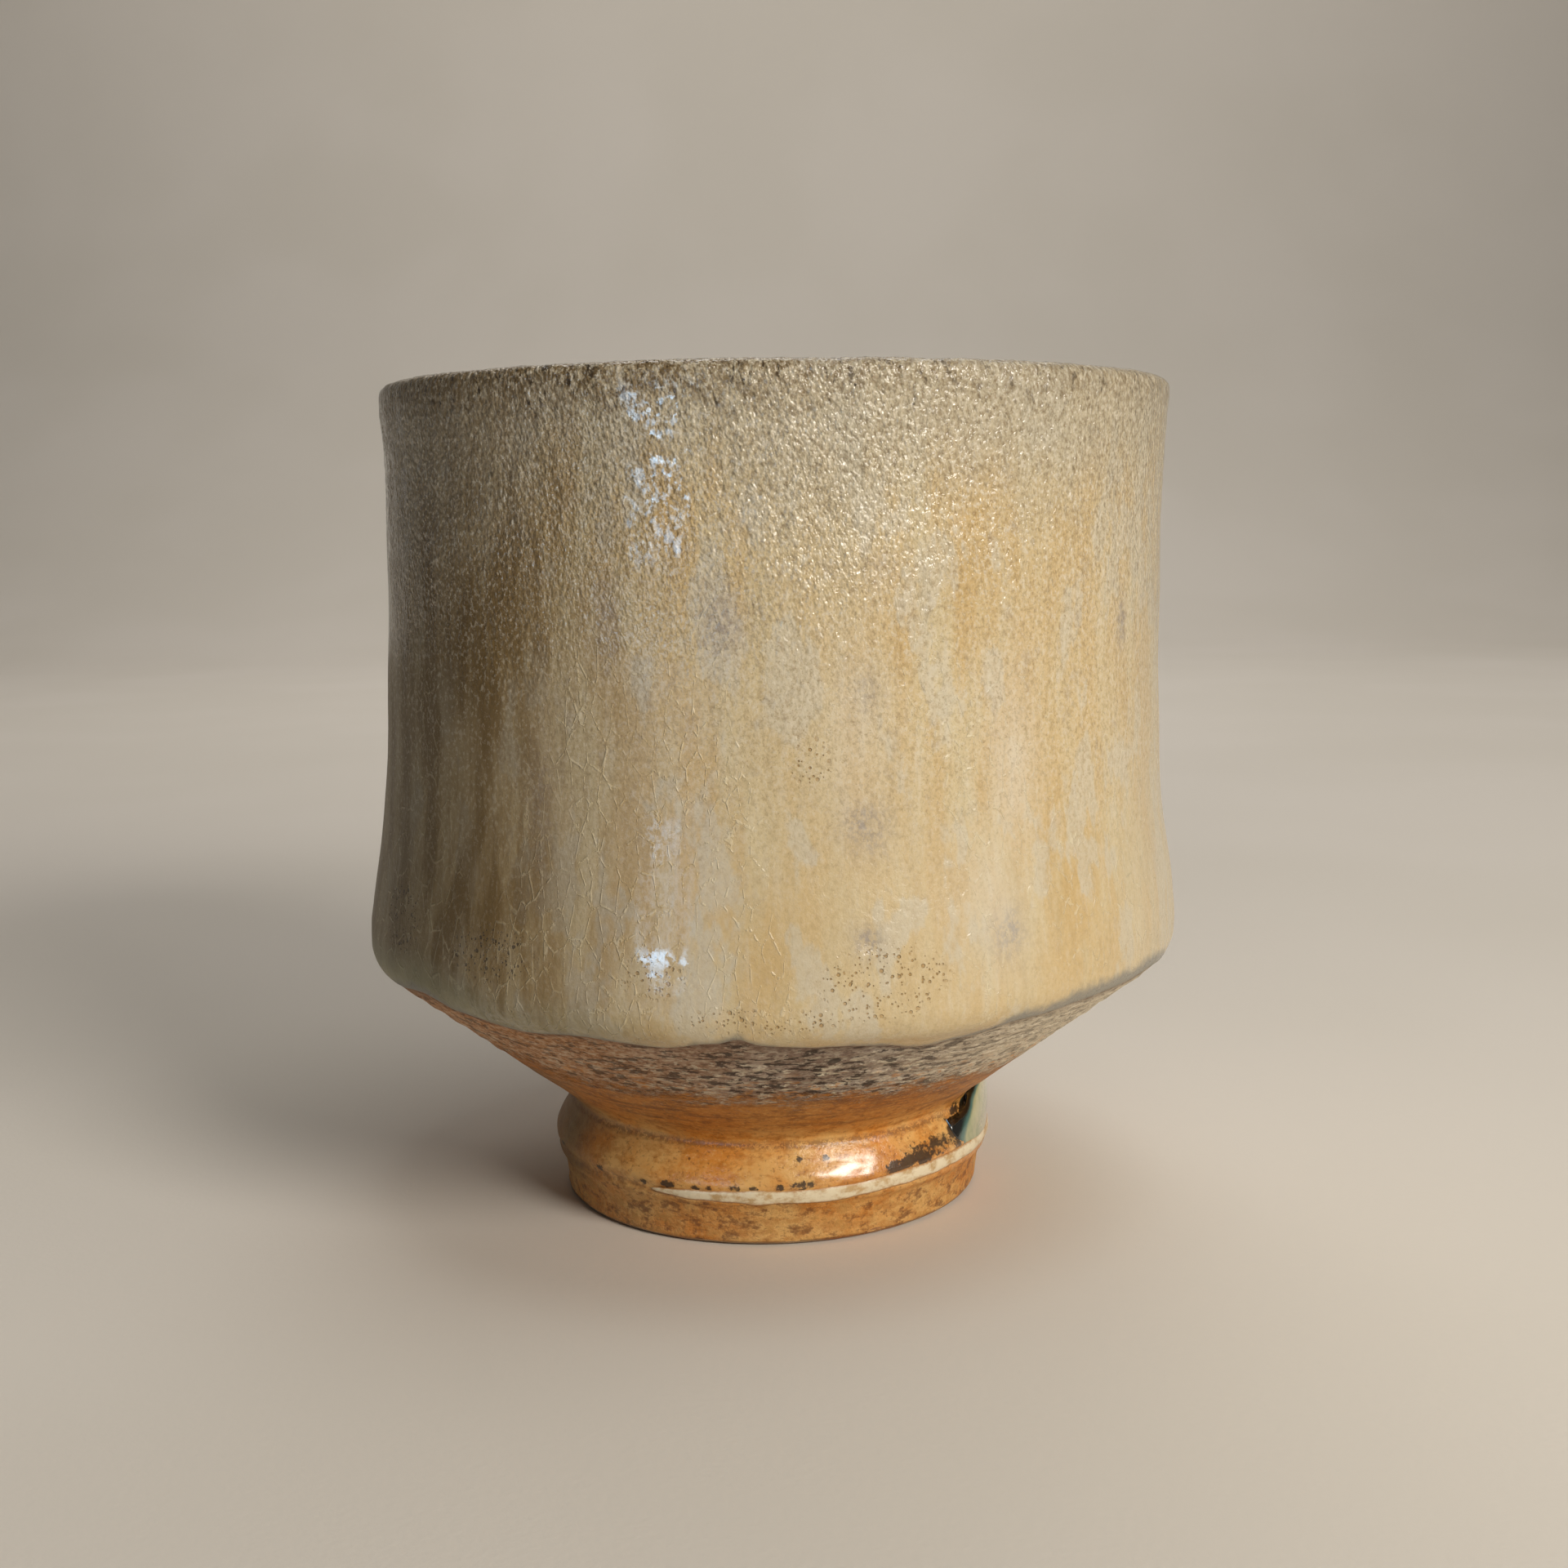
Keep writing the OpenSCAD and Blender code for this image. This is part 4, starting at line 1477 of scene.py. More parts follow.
@dataclass
class ThrownClay(Layer):
    """The bowl, its thrown-on foot ring and the slip between them."""

    bowl_steps: int = 240
    foot_steps: int = 320
    bowl_point: float = 0.3
    foot_point: float = 0.2
    row: float = 1.2
    fine_row: float = 0.5
    slip_row: float = 0.35
    trim_pitch: float = 2.6
    trim_depth: float = 0.09
    trim_fade: Point = (0, 4)
    wear: float = 0.07
    wear_pace: float = 0.8
    wear_in: float = 1.0
    wear_out: float = 2.0
    cut: float = 0.7
    cut_half: float = 0.6
    bead: Triple = (0.12, 6.0, 0.5)

    def build(self) -> None:
        """Build and dress the three pieces of clay."""
        clay = BareClay().make()
        self._bowl(clay)
        self._foot(clay)
        self._slip(JointSlip().make())

    def _bowl(self, clay: bpy.types.Material) -> None:
        """The thrown bowl, closed underneath by the recess's roof.

        Args:
            clay: Its finish.
        """
        shape = self.outline
        path = Path([*shape.inside(), *shape.outside()[1:], (0.0, shape.crease[1])], self.bowl_point)
        roof = path.length - shape.crease[0]
        stations = [(s, 0.0) for s in steps_between(0.0, roof, self.row)]
        stations += [(s, 0.0) for s in steps_between(roof, path.length, self.fine_row)[1:]]

        def place(az: float, s: float, t: float) -> Vector:
            """Place of a point of the bowl, with trimming marks on the roof.

            Args:
                az: Azimuth in degrees.
                s: Distance along the section.
                t: Not used here.

            Returns:
                The place in metres.
            """
            r, z, _, _ = path.at(s)
            if s > roof and r < shape.recess_r:
                trim = 1 + math.cos(math.tau * (r / self.trim_pitch + az / 360.0))
                z += self.trim_depth * trim * ramp(r, *self.trim_fade)
            return self.hand.place(r, az, z)

        keep(turn(stations, self.bowl_steps, place), "thrown_bowl", "bowl_body", Slot.STONEWARE, clay)

    def _foot(self, clay: bpy.types.Material) -> None:
        """The foot ring, with a worn flat and a trimmed recess.

        Args:
            clay: Its finish.
        """
        shape = self.outline
        path = Path([*shape.foot(), *shape.under(), shape.foot()[0]], self.foot_point)
        flat = Path(shape.foot(), self.foot_point).length
        end = flat + Path(shape.under(), self.foot_point).length
        stations = [(s, 0.0) for s in steps_between(0.0, path.length, self.fine_row)[:-1]]

        def place(az: float, s: float, t: float) -> Vector:
            """Place of a point of the foot: worn below, cut back for the groove outside.

            Args:
                az: Azimuth in degrees.
                s: Distance along the section.
                t: Not used here.

            Returns:
                The place in metres.
            """
            at = path.at(s)
            r, z = at[:2]
            out = 0.0
            if flat - self.wear_in < s < end:
                worn = ripple(*around(az, self.wear_pace * r), self.wear_pace * z) - 1.0
                out = self.wear * worn * ramp(s, flat - self.wear_in, flat)
                out *= ramp(s, end, end - self.wear_out)
            elif s <= flat:
                out = -self.groove.sunk(z) - self.cut * bell(z - self.groove.height(az), self.cut_half)
            return self.lifted(az, at, out)

        keep(turn(stations, self.foot_steps, place), "turned_foot", "foot_ring", Slot.STONEWARE, clay)

    def _slip(self, slip: bpy.types.Material) -> None:
        """The ring of slip, with a soft bead inside the recess.

        Args:
            slip: Its finish.
        """
        shape = self.outline
        low, high = shape.foot_top, shape.crease[1]
        middle = (low + high) / 2
        path = Path([
            (shape.crease[0], high), (shape.crease[0], low), (shape.recess_r, low),
            *arc((shape.recess_r, middle), (high - low) / 2, -90, -270, 8), (shape.crease[0], high),
        ], self.foot_point)
        stations = [(s, 0.0) for s in steps_between(0.0, path.length, self.slip_row)[:-1]]

        def place(az: float, s: float, t: float) -> Vector:
            """Place of a point of the slip, uneven where it squeezed out.

            Args:
                az: Azimuth in degrees.
                s: Distance along the section.
                t: Not used here.

            Returns:
                The place in metres.
            """
            r, z, _, _ = path.at(s)
            if r < shape.recess_r:
                size, pace, shift = self.bead
                r += size * ripple(*around(az, pace), shift)
            return self.hand.place(r, az, z)

        keep(turn(stations, self.bowl_steps, place), "joint_slip_ring", "luting_slip", Slot.SLIP, slip)


@dataclass(frozen=True)
class Spot:
    """A fired mark on the outer glaze: its place, half width and half height in mm, kind and strength."""

    az: float
    z: float
    wide: float
    tall: float
    kind: Mark
    strength: float


@dataclass
class OuterCoat(Layer):
    """The cream glaze outside, from the crown down to its running edge."""

    steps: int = 560
    row: float = 0.5
    lip_reach: float = 4.0
    lip_row: float = 0.25
    roll_reach: float = 9.0
    roll_row: float = 0.33
    tip_reach: float = 1.6
    tip_row: float = 0.16
    back_reach: float = 1.0
    back_row: float = 6.0
    lip_t: float = 0.5
    wall_t: float = 0.9
    crown_z: float = 94.5
    thick_z: float = 30.4
    end_z: float = 28.8
    pull: float = 14.0
    bead_round: float = 0.9
    edge_share: float = 0.62
    edge_reach: Point = (0.5, 5.0)
    relief_reach: float = 2.0
    inset: float = 0.10
    wall_z: Point = (93.0, 84.0)
    rings: float = 0.05
    ring_pitch: float = 15.5
    ring_turn: float = 2.8
    runs: tuple[Triple, ...] = ((0.05, 0.22, 0.05), (0.03, 0.6, 0.08), (0.022, 0.8, 0.5))
    crater: Point = (11.6, 39.0)
    crater_rim: Triple = (0.04, 1.7, 0.6)
    crater_pit: Point = (0.14, 0.9)
    nick: Triple = (0.03, 35.9, 0.9)
    spot_reach: float = 3.0
    spot_blur: Triple = (0.35, 0.5, 0.4)
    spots: tuple[Spot, ...] = (
        Spot(-6, 70, 2.0, 3.0, Mark.CLOUD, 0.9),
        Spot(-21, 70.5, 1.6, 4.0, Mark.CLOUD, 0.7),
        Spot(11.4, 50, 2.4, 2.6, Mark.CLOUD, 0.9),
        Spot(11.6, 39, 1.5, 1.6, Mark.CLOUD, 1.0),
        Spot(11.6, 63, 1.8, 2.6, Mark.CLOUD, 0.6),
        Spot(55, 68.6, 1.2, 3.0, Mark.CLOUD, 0.9),
        Spot(13, 75, 2.0, 2.0, Mark.CLOUD, 0.4),
        Spot(30, 38.6, 2.2, 2.6, Mark.CLOUD, 0.9),
        Spot(-30, 52, 2.0, 8.0, Mark.CLOUD, 0.4),
        Spot(32, 55, 3.2, 10.0, Mark.STAIN, 0.9),
        Spot(28, 42, 4.0, 8.0, Mark.STAIN, 0.7),
        Spot(10, 60, 3.0, 9.0, Mark.STAIN, 0.5),
        Spot(13.5, 35.0, 5.5, 3.0, Mark.PITS, 1.0),
        Spot(-1, 31.8, 9.0, 1.2, Mark.PITS, 0.6),
        Spot(4.5, 56.5, 2.2, 2.6, Mark.PITS, 0.6),
        Spot(-37.5, 36.5, 5.0, 2.4, Mark.PITS, 1.0),
        Spot(-58, 38, 4.0, 3.4, Mark.PITS, 1.0),
        Spot(-14, 36, 4.0, 2.5, Mark.PITS, 0.5),
        Spot(150, 36, 9.0, 4.0, Mark.PITS, 0.9),
        Spot(200, 60, 5.0, 9.0, Mark.CLOUD, 0.7),
        Spot(120, 48, 5.0, 12.0, Mark.STAIN, 0.8),
    )

    def build(self) -> None:
        """Build and dress the coat."""
        path = Path(self.outline.outside())
        edge_at = self.edge.along(path)
        end = path.where(self.end_z)
        roll, tip = end - self.roll_reach, end - self.tip_reach
        rows = steps_between(0.0, self.lip_reach, self.lip_row)
        rows += steps_between(self.lip_reach, roll, self.row)[1:]
        rows += steps_between(roll, tip, self.roll_row)[1:]
        rows += steps_between(tip, end, self.tip_row)[1:]
        stations = [(s, 1.0) for s in rows]
        stations += [(s, 0.0) for s in steps_between(end - self.back_reach, 0.0, self.back_row)]

        def slid(az: float, s: float) -> Point:
            """Slide a row so that the last one follows the running edge.

            Args:
                az: Azimuth in degrees.
                s: The row's distance along the clay.

            Returns:
                Its distance after the slide, and what is left to the edge.
            """
            last = edge_at(az)
            moved = s + (last - end) * ramp(s, end - self.pull, end)
            return moved, max(0.0, last - moved)

        def place(az: float, s: float, t: float) -> Vector:
            """Place of a point of the coat, rounded off at its edge.

            Args:
                az: Azimuth in degrees.
                s: The row's distance along the clay.
                t: 1 on the glaze's surface, 0 on the clay.

            Returns:
                The place in metres.
            """
            moved, gap = slid(az, s)
            at = path.at(moved)
            r, z = at[:2]
            out = 0.0
            if t > 0.0:
                thick = self.lip_t + (self.wall_t - self.lip_t) * ramp(z, self.crown_z, self.thick_z)
                thick *= self.edge_share + (1 - self.edge_share) * ramp(gap, *self.edge_reach)
                share = min(1.0, gap / self.bead_round)
                out = thick * math.sqrt(max(0.0, 1 - (1 - share) ** 2))
                out += self._relief(az, r, z) * min(1.0, gap / self.relief_reach)
            return self.lifted(az, at, out)

        bm = turn(stations, self.steps, place)
        self._paint(bm, slid, path)
        keep(bm, "glaze_coat", "outer_glaze", Slot.CREAM, CreamGlaze().make())

    def _relief(self, az: float, r: float, z: float) -> float:
        """How far the coat's surface stands out at a place: throwing rings, runs, sugar and a crater.

        Args:
            az: Azimuth in degrees.
            r: Radius of the clay in mm.
            z: Height of the clay in mm.

        Returns:
            The relief in mm.
        """
        x, y = around(az, r)
        rings = self.rings * math.sin(math.tau * (z / self.ring_pitch + az / 360.0) + self.ring_turn)
        runs = sum(size * ripple(pace * x, pace * y, up * z) for size, pace, up in self.runs)
        away = math.hypot(turn_to(az - self.crater[0]) * math.radians(r), z - self.crater[1])
        rim, rim_r, rim_half = self.crater_rim
        pit, pit_half = self.crater_pit
        hole = rim * bell(away - rim_r, rim_half) - pit * bell(away, pit_half)
        nick, nick_z, nick_half = self.nick
        wall = ramp(z, *self.wall_z) * (rings + runs) - nick * bell(z - nick_z, nick_half)
        return wall + self.lip.relief(az, r, z) + hole - self.inset

    def _paint(self, bm: bmesh.types.BMesh, slid: Callable[[float, float], Point], path: Path) -> None:
        """Write the layers that the finish reads: gap to the edge, and fired marks.

        Args:
            bm: The turned coat.
            slid: Gives distance along the clay and gap to the edge.
            path: The clay's path.
        """
        along, azimuth = bm.verts.layers.float["along"], bm.verts.layers.float["azimuth"]
        edge_gap = bm.verts.layers.float.new("edge_gap")
        marks = bm.verts.layers.float_color.new("marks")
        for v in bm.verts:
            moved, v[edge_gap] = slid(v[azimuth], v[along])
            r, z, _, _ = path.at(moved)
            channels = [0.0, 0.0, 0.0, 1.0]
            for spot in self.spots:
                dx, dz = turn_to(v[azimuth] - spot.az) * math.radians(r), z - spot.z
                if abs(dx) < self.spot_reach * spot.wide and abs(dz) < self.spot_reach * spot.tall:
                    size, pace, up = self.spot_blur
                    blur = size * ripple(pace * dx, up * dz, spot.az)
                    fall = (dx / spot.wide) ** 2 + (dz / spot.tall) ** 2
                    share = spot.strength * math.exp(blur - fall)
                    channels[spot.kind.value] = min(1.0, max(channels[spot.kind.value], share))
            v[marks] = channels


@dataclass
class Liner(Layer):
    """The glaze inside, thin at the lip and pooled on the floor."""

    steps: int = 480
    row: float = 0.62
    lip_reach: float = 4.0
    lip_row: float = 0.25
    back_row: float = 6.0
    liner_t: float = 0.6
    lip_t: float = 0.5
    taper: float = 0.05
    pool_t: float = 0.9
    pool_r: float = 22.0
    inset: float = 0.12
    rings: float = 0.10
    ring_pitch: float = 9.0
    runs: Triple = (0.08, 0.2, 0.06)
    wall_drop: Point = (1.0, 10.0)
    wall_r: Point = (8.0, 26.0)

    def build(self) -> None:
        """Build and dress the liner."""
        path = Path(self.outline.inside())
        crown = self.outline.lip_c[1] + self.outline.lip_round
        start, end = path.length - self.lip_reach, path.length
        rows = steps_between(0.0, start, self.row) + steps_between(start, end, self.lip_row)[1:]
        stations = [(s, 1.0) for s in rows] + [(s, 0.0) for s in steps_between(end, 0.0, self.back_row)]

        def place(az: float, s: float, t: float) -> Vector:
            """Place of a point of the liner.

            Args:
                az: Azimuth in degrees.
                s: Distance along the clay.
                t: 1 on the glaze's surface, 0 on the clay.

            Returns:
                The place in metres.
            """
            at = path.at(s)
            r, z = at[:2]
            out = 0.0
            if t > 0.0:
                x, y = around(az, r)
                size, pace, up = self.runs
                rings = self.rings * math.sin(math.tau * (s / self.ring_pitch + az / 360.0))
                rings += size * ripple(pace * x, pace * y, up * z)
                wall = ramp(crown - z, *self.wall_drop) * ramp(r, *self.wall_r)
                pool = self.pool_t * math.cos(math.pi / 2 * min(1.0, r / self.pool_r)) ** 2
                out = min(self.liner_t + pool, self.lip_t + self.taper * (crown - z))
                out += wall * rings + self.lip.relief(az, r, z) - self.inset
            return self.lifted(az, at, out)

        bm = turn(stations, self.steps, place)
        keep(bm, "liner_coat", "inner_glaze", Slot.LINER, LinerGlaze().make())


@dataclass
class AshBand(Layer):
    """The dry crust on the slope, from under the glaze's edge down to the flashing."""

    steps: int = 640
    rows: int = 70
    back_rows: int = 8
    skin_t: float = 0.35
    low_z: float = 19.6
    tuck: float = 0.5
    free_top: float = 1.4
    free_low: float = 2.5
    torn: float = 0.24
    torn_pace: Point = (0.28, 1.15)
    torn_level: float = 0.25
    nubs: float = 0.09
    nub_pace: Point = (0.8, 1.5)
    rings: float = 0.05
    ring_pitch: float = 2.9
    ring_drift: Point = (2.0, 0.1)
    front_az: float = 8.0
    front_half: float = 42.0
    front_share: float = 0.55
    inset: float = 0.05

    def build(self) -> None:
        """Build and dress the crust."""
        path = self.skin_path()
        edge_at = self.edge.along(path)
        low = path.where(self.low_z, PAST_SHOULDER)
        shares = [i / self.rows for i in range(self.rows + 1)]
        stations = [(u, 1.0) for u in shares] + [(u, 0.0) for u in shares[::-self.back_rows]]

        def place(az: float, u: float, t: float) -> Vector:
            """Place of a point of the crust.

            Args:
                az: Azimuth in degrees.
                u: Share of the way down from the glaze's edge.
                t: 1 on the crust's surface, 0 on the clay.

            Returns:
                The place in metres.
            """
            high = edge_at(az) - self.tuck
            s = high + (low - high) * u
            at = path.at(s)
            out = 0.0
            if t > 0.0:
                free = ramp(s, high, high + self.free_top) * ramp(s, low, low - self.free_low)
                out = self.skin_t + free * self._relief(az, at[0], s)
            return self.lifted(az, at, out)

        keep(turn(stations, self.steps, place), "ash_crust", "ash_band", Slot.ASH, AshCrust().make())

    def _relief(self, az: float, r: float, s: float) -> float:
        """Torn ridges along the turning marks, strongest at the front.

        Args:
            az: Azimuth in degrees.
            r: Radius in mm.
            s: Distance along the slope in mm.

        Returns:
            The relief in mm.
        """
        x, y = around(az, r)
        pace, up = self.torn_pace
        torn = self.torn * (abs(ripple(pace * x, pace * y, up * s)) - self.torn_level)
        pace, up = self.nub_pace
        nubs = self.nubs * ripple(pace * x, pace * y, up * s)
        size, pace = self.ring_drift
        drift = size * ripple(pace * x, pace * y, 0.0)
        rings = self.rings * math.sin(math.tau * s / self.ring_pitch + drift)
        front = 1 - self.front_share + self.front_share * bell(turn_to(az - self.front_az), self.front_half)
        return front * (torn + nubs) + rings - self.inset


@dataclass
class FlashedSkin(Layer):
    """The orange flashing slip from the slope over the joint and down the foot."""

    steps: int = 608
    row: float = 0.25
    back_rows: int = 6
    top_z: float = 19.6
    bare_z: float = 0.5
    free_top: float = 1.5
    bed: float = 0.9
    hem: float = 0.5
    hem_share: float = 0.1
    waves: tuple[Triple, ...] = ((0.05, 0.5, 0.8), (0.06, 0.12, 1.1))
    joint: Triple = (0.06, 11.4, 0.22)
    joint_drift: Point = (0.2, 2.0)
    veil_az: float = -110.0
    veil_from: Point = (-60.0, -20.0)
    veil_to: Point = (68.0, 44.0)
    veil_z: Point = (1.0, 6.0)
    line_half: float = 0.8
    dots: tuple[tuple[float, float, float, float], ...] = (
        (-33, 6.7, 0.6, 0.4), (-26, 6.9, 1.0, 0.6), (-19, 6.9, 0.6, 0.4), (-15, 7.0, 0.5, 0.4),
        (-9, 7.1, 1.0, 0.5), (-4, 7.1, 0.7, 0.4), (2, 7.3, 0.6, 0.4), (8, 7.3, 1.6, 0.6),
        (7, 10.0, 0.5, 0.4), (14, 10.0, 0.5, 0.4), (34, 7.9, 2.4, 0.9), (41, 8.5, 3.2, 1.4),
        (48, 8.9, 2.4, 1.4), (56, 9.4, 2.0, 2.2), (60, 11.8, 1.4, 2.2), (-48, 6.8, 0.8, 0.5),
        (-70, 6.7, 1.2, 0.6), (-95, 7.0, 0.8, 0.5), (128, 7.6, 2.6, 1.2), (140, 7.2, 1.6, 0.8),
        (165, 6.9, 1.2, 0.6),
    )

    def build(self) -> None:
        """Build and dress the skin."""
        path = self.skin_path()
        top, low = (path.where(z, PAST_SHOULDER) for z in (self.top_z, self.bare_z))
        rows = steps_between(top, low, self.row)
        stations = [(s, 1.0) for s in rows] + [(s, 0.0) for s in rows[::-self.back_rows]]

        def place(az: float, s: float, t: float) -> Vector:
            """Place of a point of the skin, with the groove and the joint's line pressed in.

            Args:
                az: Azimuth in degrees.
                s: Distance along the path.
                t: 1 on the skin's surface, 0 on its bed.

            Returns:
                The place in metres.
            """
            at = path.at(s)
            r, z = at[:2]
            out = -self.bed * self.groove.sunk(z)
            if t > 0.0:
                x, y = around(az, r)
                waves = sum(size * ripple(pace * x, pace * y, up * z) for size, pace, up in self.waves)
                joint, joint_z, joint_half = self.joint
                drift, pace = self.joint_drift
                joint_z += drift * ripple(*around(az, pace), 0.0)
                out = self.groove.skin(z) * min(1.0, (low - s) / self.hem + self.hem_share)
                out += ramp(s, top, top + self.free_top) * waves
                out -= self.groove.depth * bell(z - self.groove.height(az), self.groove.half)
                out -= joint * bell(z - joint_z, joint_half)
            return self.lifted(az, at, out)

        bm = turn(stations, self.steps, place)
        self._paint(bm, path)
        keep(bm, "flashed_skin", "flashing_slip", Slot.FLASHING, OrangeFlash().make())

    def _paint(self, bm: bmesh.types.BMesh, path: Path) -> None:
        """Write the marks layer: dark dots, the grey-green veil at the left, and nearness to the groove.

        Args:
            bm: The turned skin.
            path: The path it lies on.
        """
        along, azimuth = bm.verts.layers.float["along"], bm.verts.layers.float["azimuth"]
        marks = bm.verts.layers.float_color.new("marks")
        for v in bm.verts:
            az = v[azimuth]
            r, z, _, _ = path.at(v[along])
            dark = 0.0
            for dot_az, dot_z, wide, tall in self.dots:
                dx, dz = turn_to(az - dot_az) * math.radians(r) / wide, (z - dot_z) / tall
                dark = max(dark, math.exp(-dx * dx - dz * dz))
            side = turn_to(az - self.veil_az)
            veil = ramp(side, *self.veil_from) * ramp(side, *self.veil_to) * ramp(z, *self.veil_z)
            v[marks] = (dark, veil, bell(z - self.groove.height(az), self.line_half), 1.0)


@dataclass
class WhiteLine(Layer):
    """The white glaze in the groove, thinning out at both ends."""

    start: float = -31.0
    end: float = 150.0
    start_thin: float = 26.0
    end_thin: float = 20.0
    steps: int = 360
    sides: int = 14
    half_tall: float = 0.95
    half_deep: float = 0.32
    sunk: float = 0.24
    share: float = 0.9
    waves: Triple = (0.22, 9.0, 2.0)

    def build(self) -> None:
        """Build and dress the line."""
        path = self.skin_path()
        stations = [(math.tau * i / self.sides, 0.0) for i in range(self.sides)]

        def place(az: float, angle: float, t: float) -> Vector:
            """Place of a point of the line.

            Args:
                az: Azimuth in degrees.
                angle: Angle round the line's section.
                t: Not used here.

            Returns:
                The place in metres.
            """
            z = self.groove.height(az)
            r, _, out_r, out_z = path.at(path.where(z, PAST_SHOULDER))
            wave, pace, shift = self.waves
            size = self.share + wave * ripple(*around(az, pace), shift)
            for left, thin in ((az - self.start, self.start_thin), (self.end - az, self.end_thin)):
                size *= math.sqrt(min(1.0, max(0.0, left / thin)))
            out = self.groove.skin(z) - self.sunk + self.half_deep * size * math.cos(angle)
            up = self.half_tall * size * math.sin(angle)
            return self.hand.place(r + out_r * out - out_z * up, az, z + out_z * out + out_r * up)

        bm = turn(stations, self.steps, place, self.start, self.end - self.start)
        along, border = bm.verts.layers.float["along"], bm.verts.layers.float.new("border")
        for v in bm.verts:
            v[border] = abs(math.sin(v[along]))
        keep(bm, "white_line", "foot_line", Slot.WHITE, WhiteGlaze().make())


@dataclass
class GreenPool(Layer):
    """Green glass that ran down and pooled over the joint, at the right of the foot."""

    start: float = 61.0
    end: float = 118.0
    slant: float = 14.0
    top_z: float = 14.2
    low_z: float = 6.6
    swell: float = 0.45
    near_blunt: float = 9.0
    far_blunt: float = 2.2
    bulge: float = 3.0
    ragged: float = 0.22
    ragged_pace: float = 7.0
    ragged_top: float = 4.0
    ragged_low: float = 9.0
    bed: float = 0.8
    rise: float = 0.2
    fill: float = 0.75
    rim: float = 6.0
    steps: int = 110
    rows: int = 22

    def build(self) -> None:
        """Build and dress the pool."""
        path = self.skin_path()
        first, last = (path.where(z, PAST_SHOULDER) for z in (self.top_z, self.low_z))
        top_r, low_r = path.at(first)[0], path.at(last)[0]
        middle, half = (self.start + self.end) / 2, (self.end - self.start) / 2
        shares = [i / self.rows for i in range(self.rows + 1)]
        stations = [(u, 1.0) for u in shares] + [(u, 0.0) for u in shares[-2:0:-1]]

        def dome(az: float, u: float) -> Point:
            """How wide and how deep the pool is at a place.

            Args:
                az: Azimuth in degrees.
                u: Share of the way down.

            Returns:
                Share of its full width, and share of its full depth.
            """
            side = min(1.0, max(-1.0, turn_to(az - middle) / half))
            blunt = self.near_blunt if side < 0 else self.far_blunt
            wide = math.sqrt(max(0.0, 1 - abs(side) ** blunt))
            return wide, wide * math.sqrt(max(0.0, 1 - abs(2 * u - 1) ** self.bulge))

        def place(az: float, u: float, t: float) -> Vector:
            """Place of a point of the pool.

            Args:
                az: Azimuth in degrees.
                u: Share of the way down.
                t: 1 on the pool's surface, 0 on its bed.

            Returns:
                The place in metres.
            """
            wide, deep = dome(az, u)
            shift = self.ragged_top if u < 0.5 else self.ragged_low
            wave = 0.5 + 0.5 * ripple(*around(az, self.ragged_pace), shift)
            wave *= self.ragged * ramp(az, middle - half / 2, middle + half / 2)
            r, z, out_r, out_z = path.at(first + (last - first) * (0.5 + (u - 0.5) * wide * (1 - wave)))
            bed = self.bed * self.groove.skin(z)
            r, z = r + out_r * bed, z + out_z * bed
            if t > 0.0:
                chord = top_r + (low_r - top_r) * ramp(u, 0.0, 1.0) + self.rise
                r += (self.fill * max(0.0, chord - r) + self.swell * 4 * u * (1 - u)) * deep
            return self.hand.place(r, az + self.slant * (0.5 - u), z)

        bm = turn(stations, self.steps, place, self.start, self.end - self.start)
        along, azimuth = bm.verts.layers.float["along"], bm.verts.layers.float["azimuth"]
        depth = bm.verts.layers.float.new("depth")
        for v in bm.verts:
            v[depth] = min(dome(v[azimuth], v[along])) * ramp(v[azimuth], self.start, self.start + self.rim)
        keep(bm, "green_pool", "green_run", Slot.GREEN, GreenGlass().make())


@dataclass(frozen=True)
class Lamp:
    """A soft box, in degrees, metres and watts; one that is not diffuse shows in reflections only."""

    name: str
    az: float
    rise: float
    far: float
    size: Point
    power: float
    colour: Triple
    aim: Triple | None = None
    diffuse: bool = True


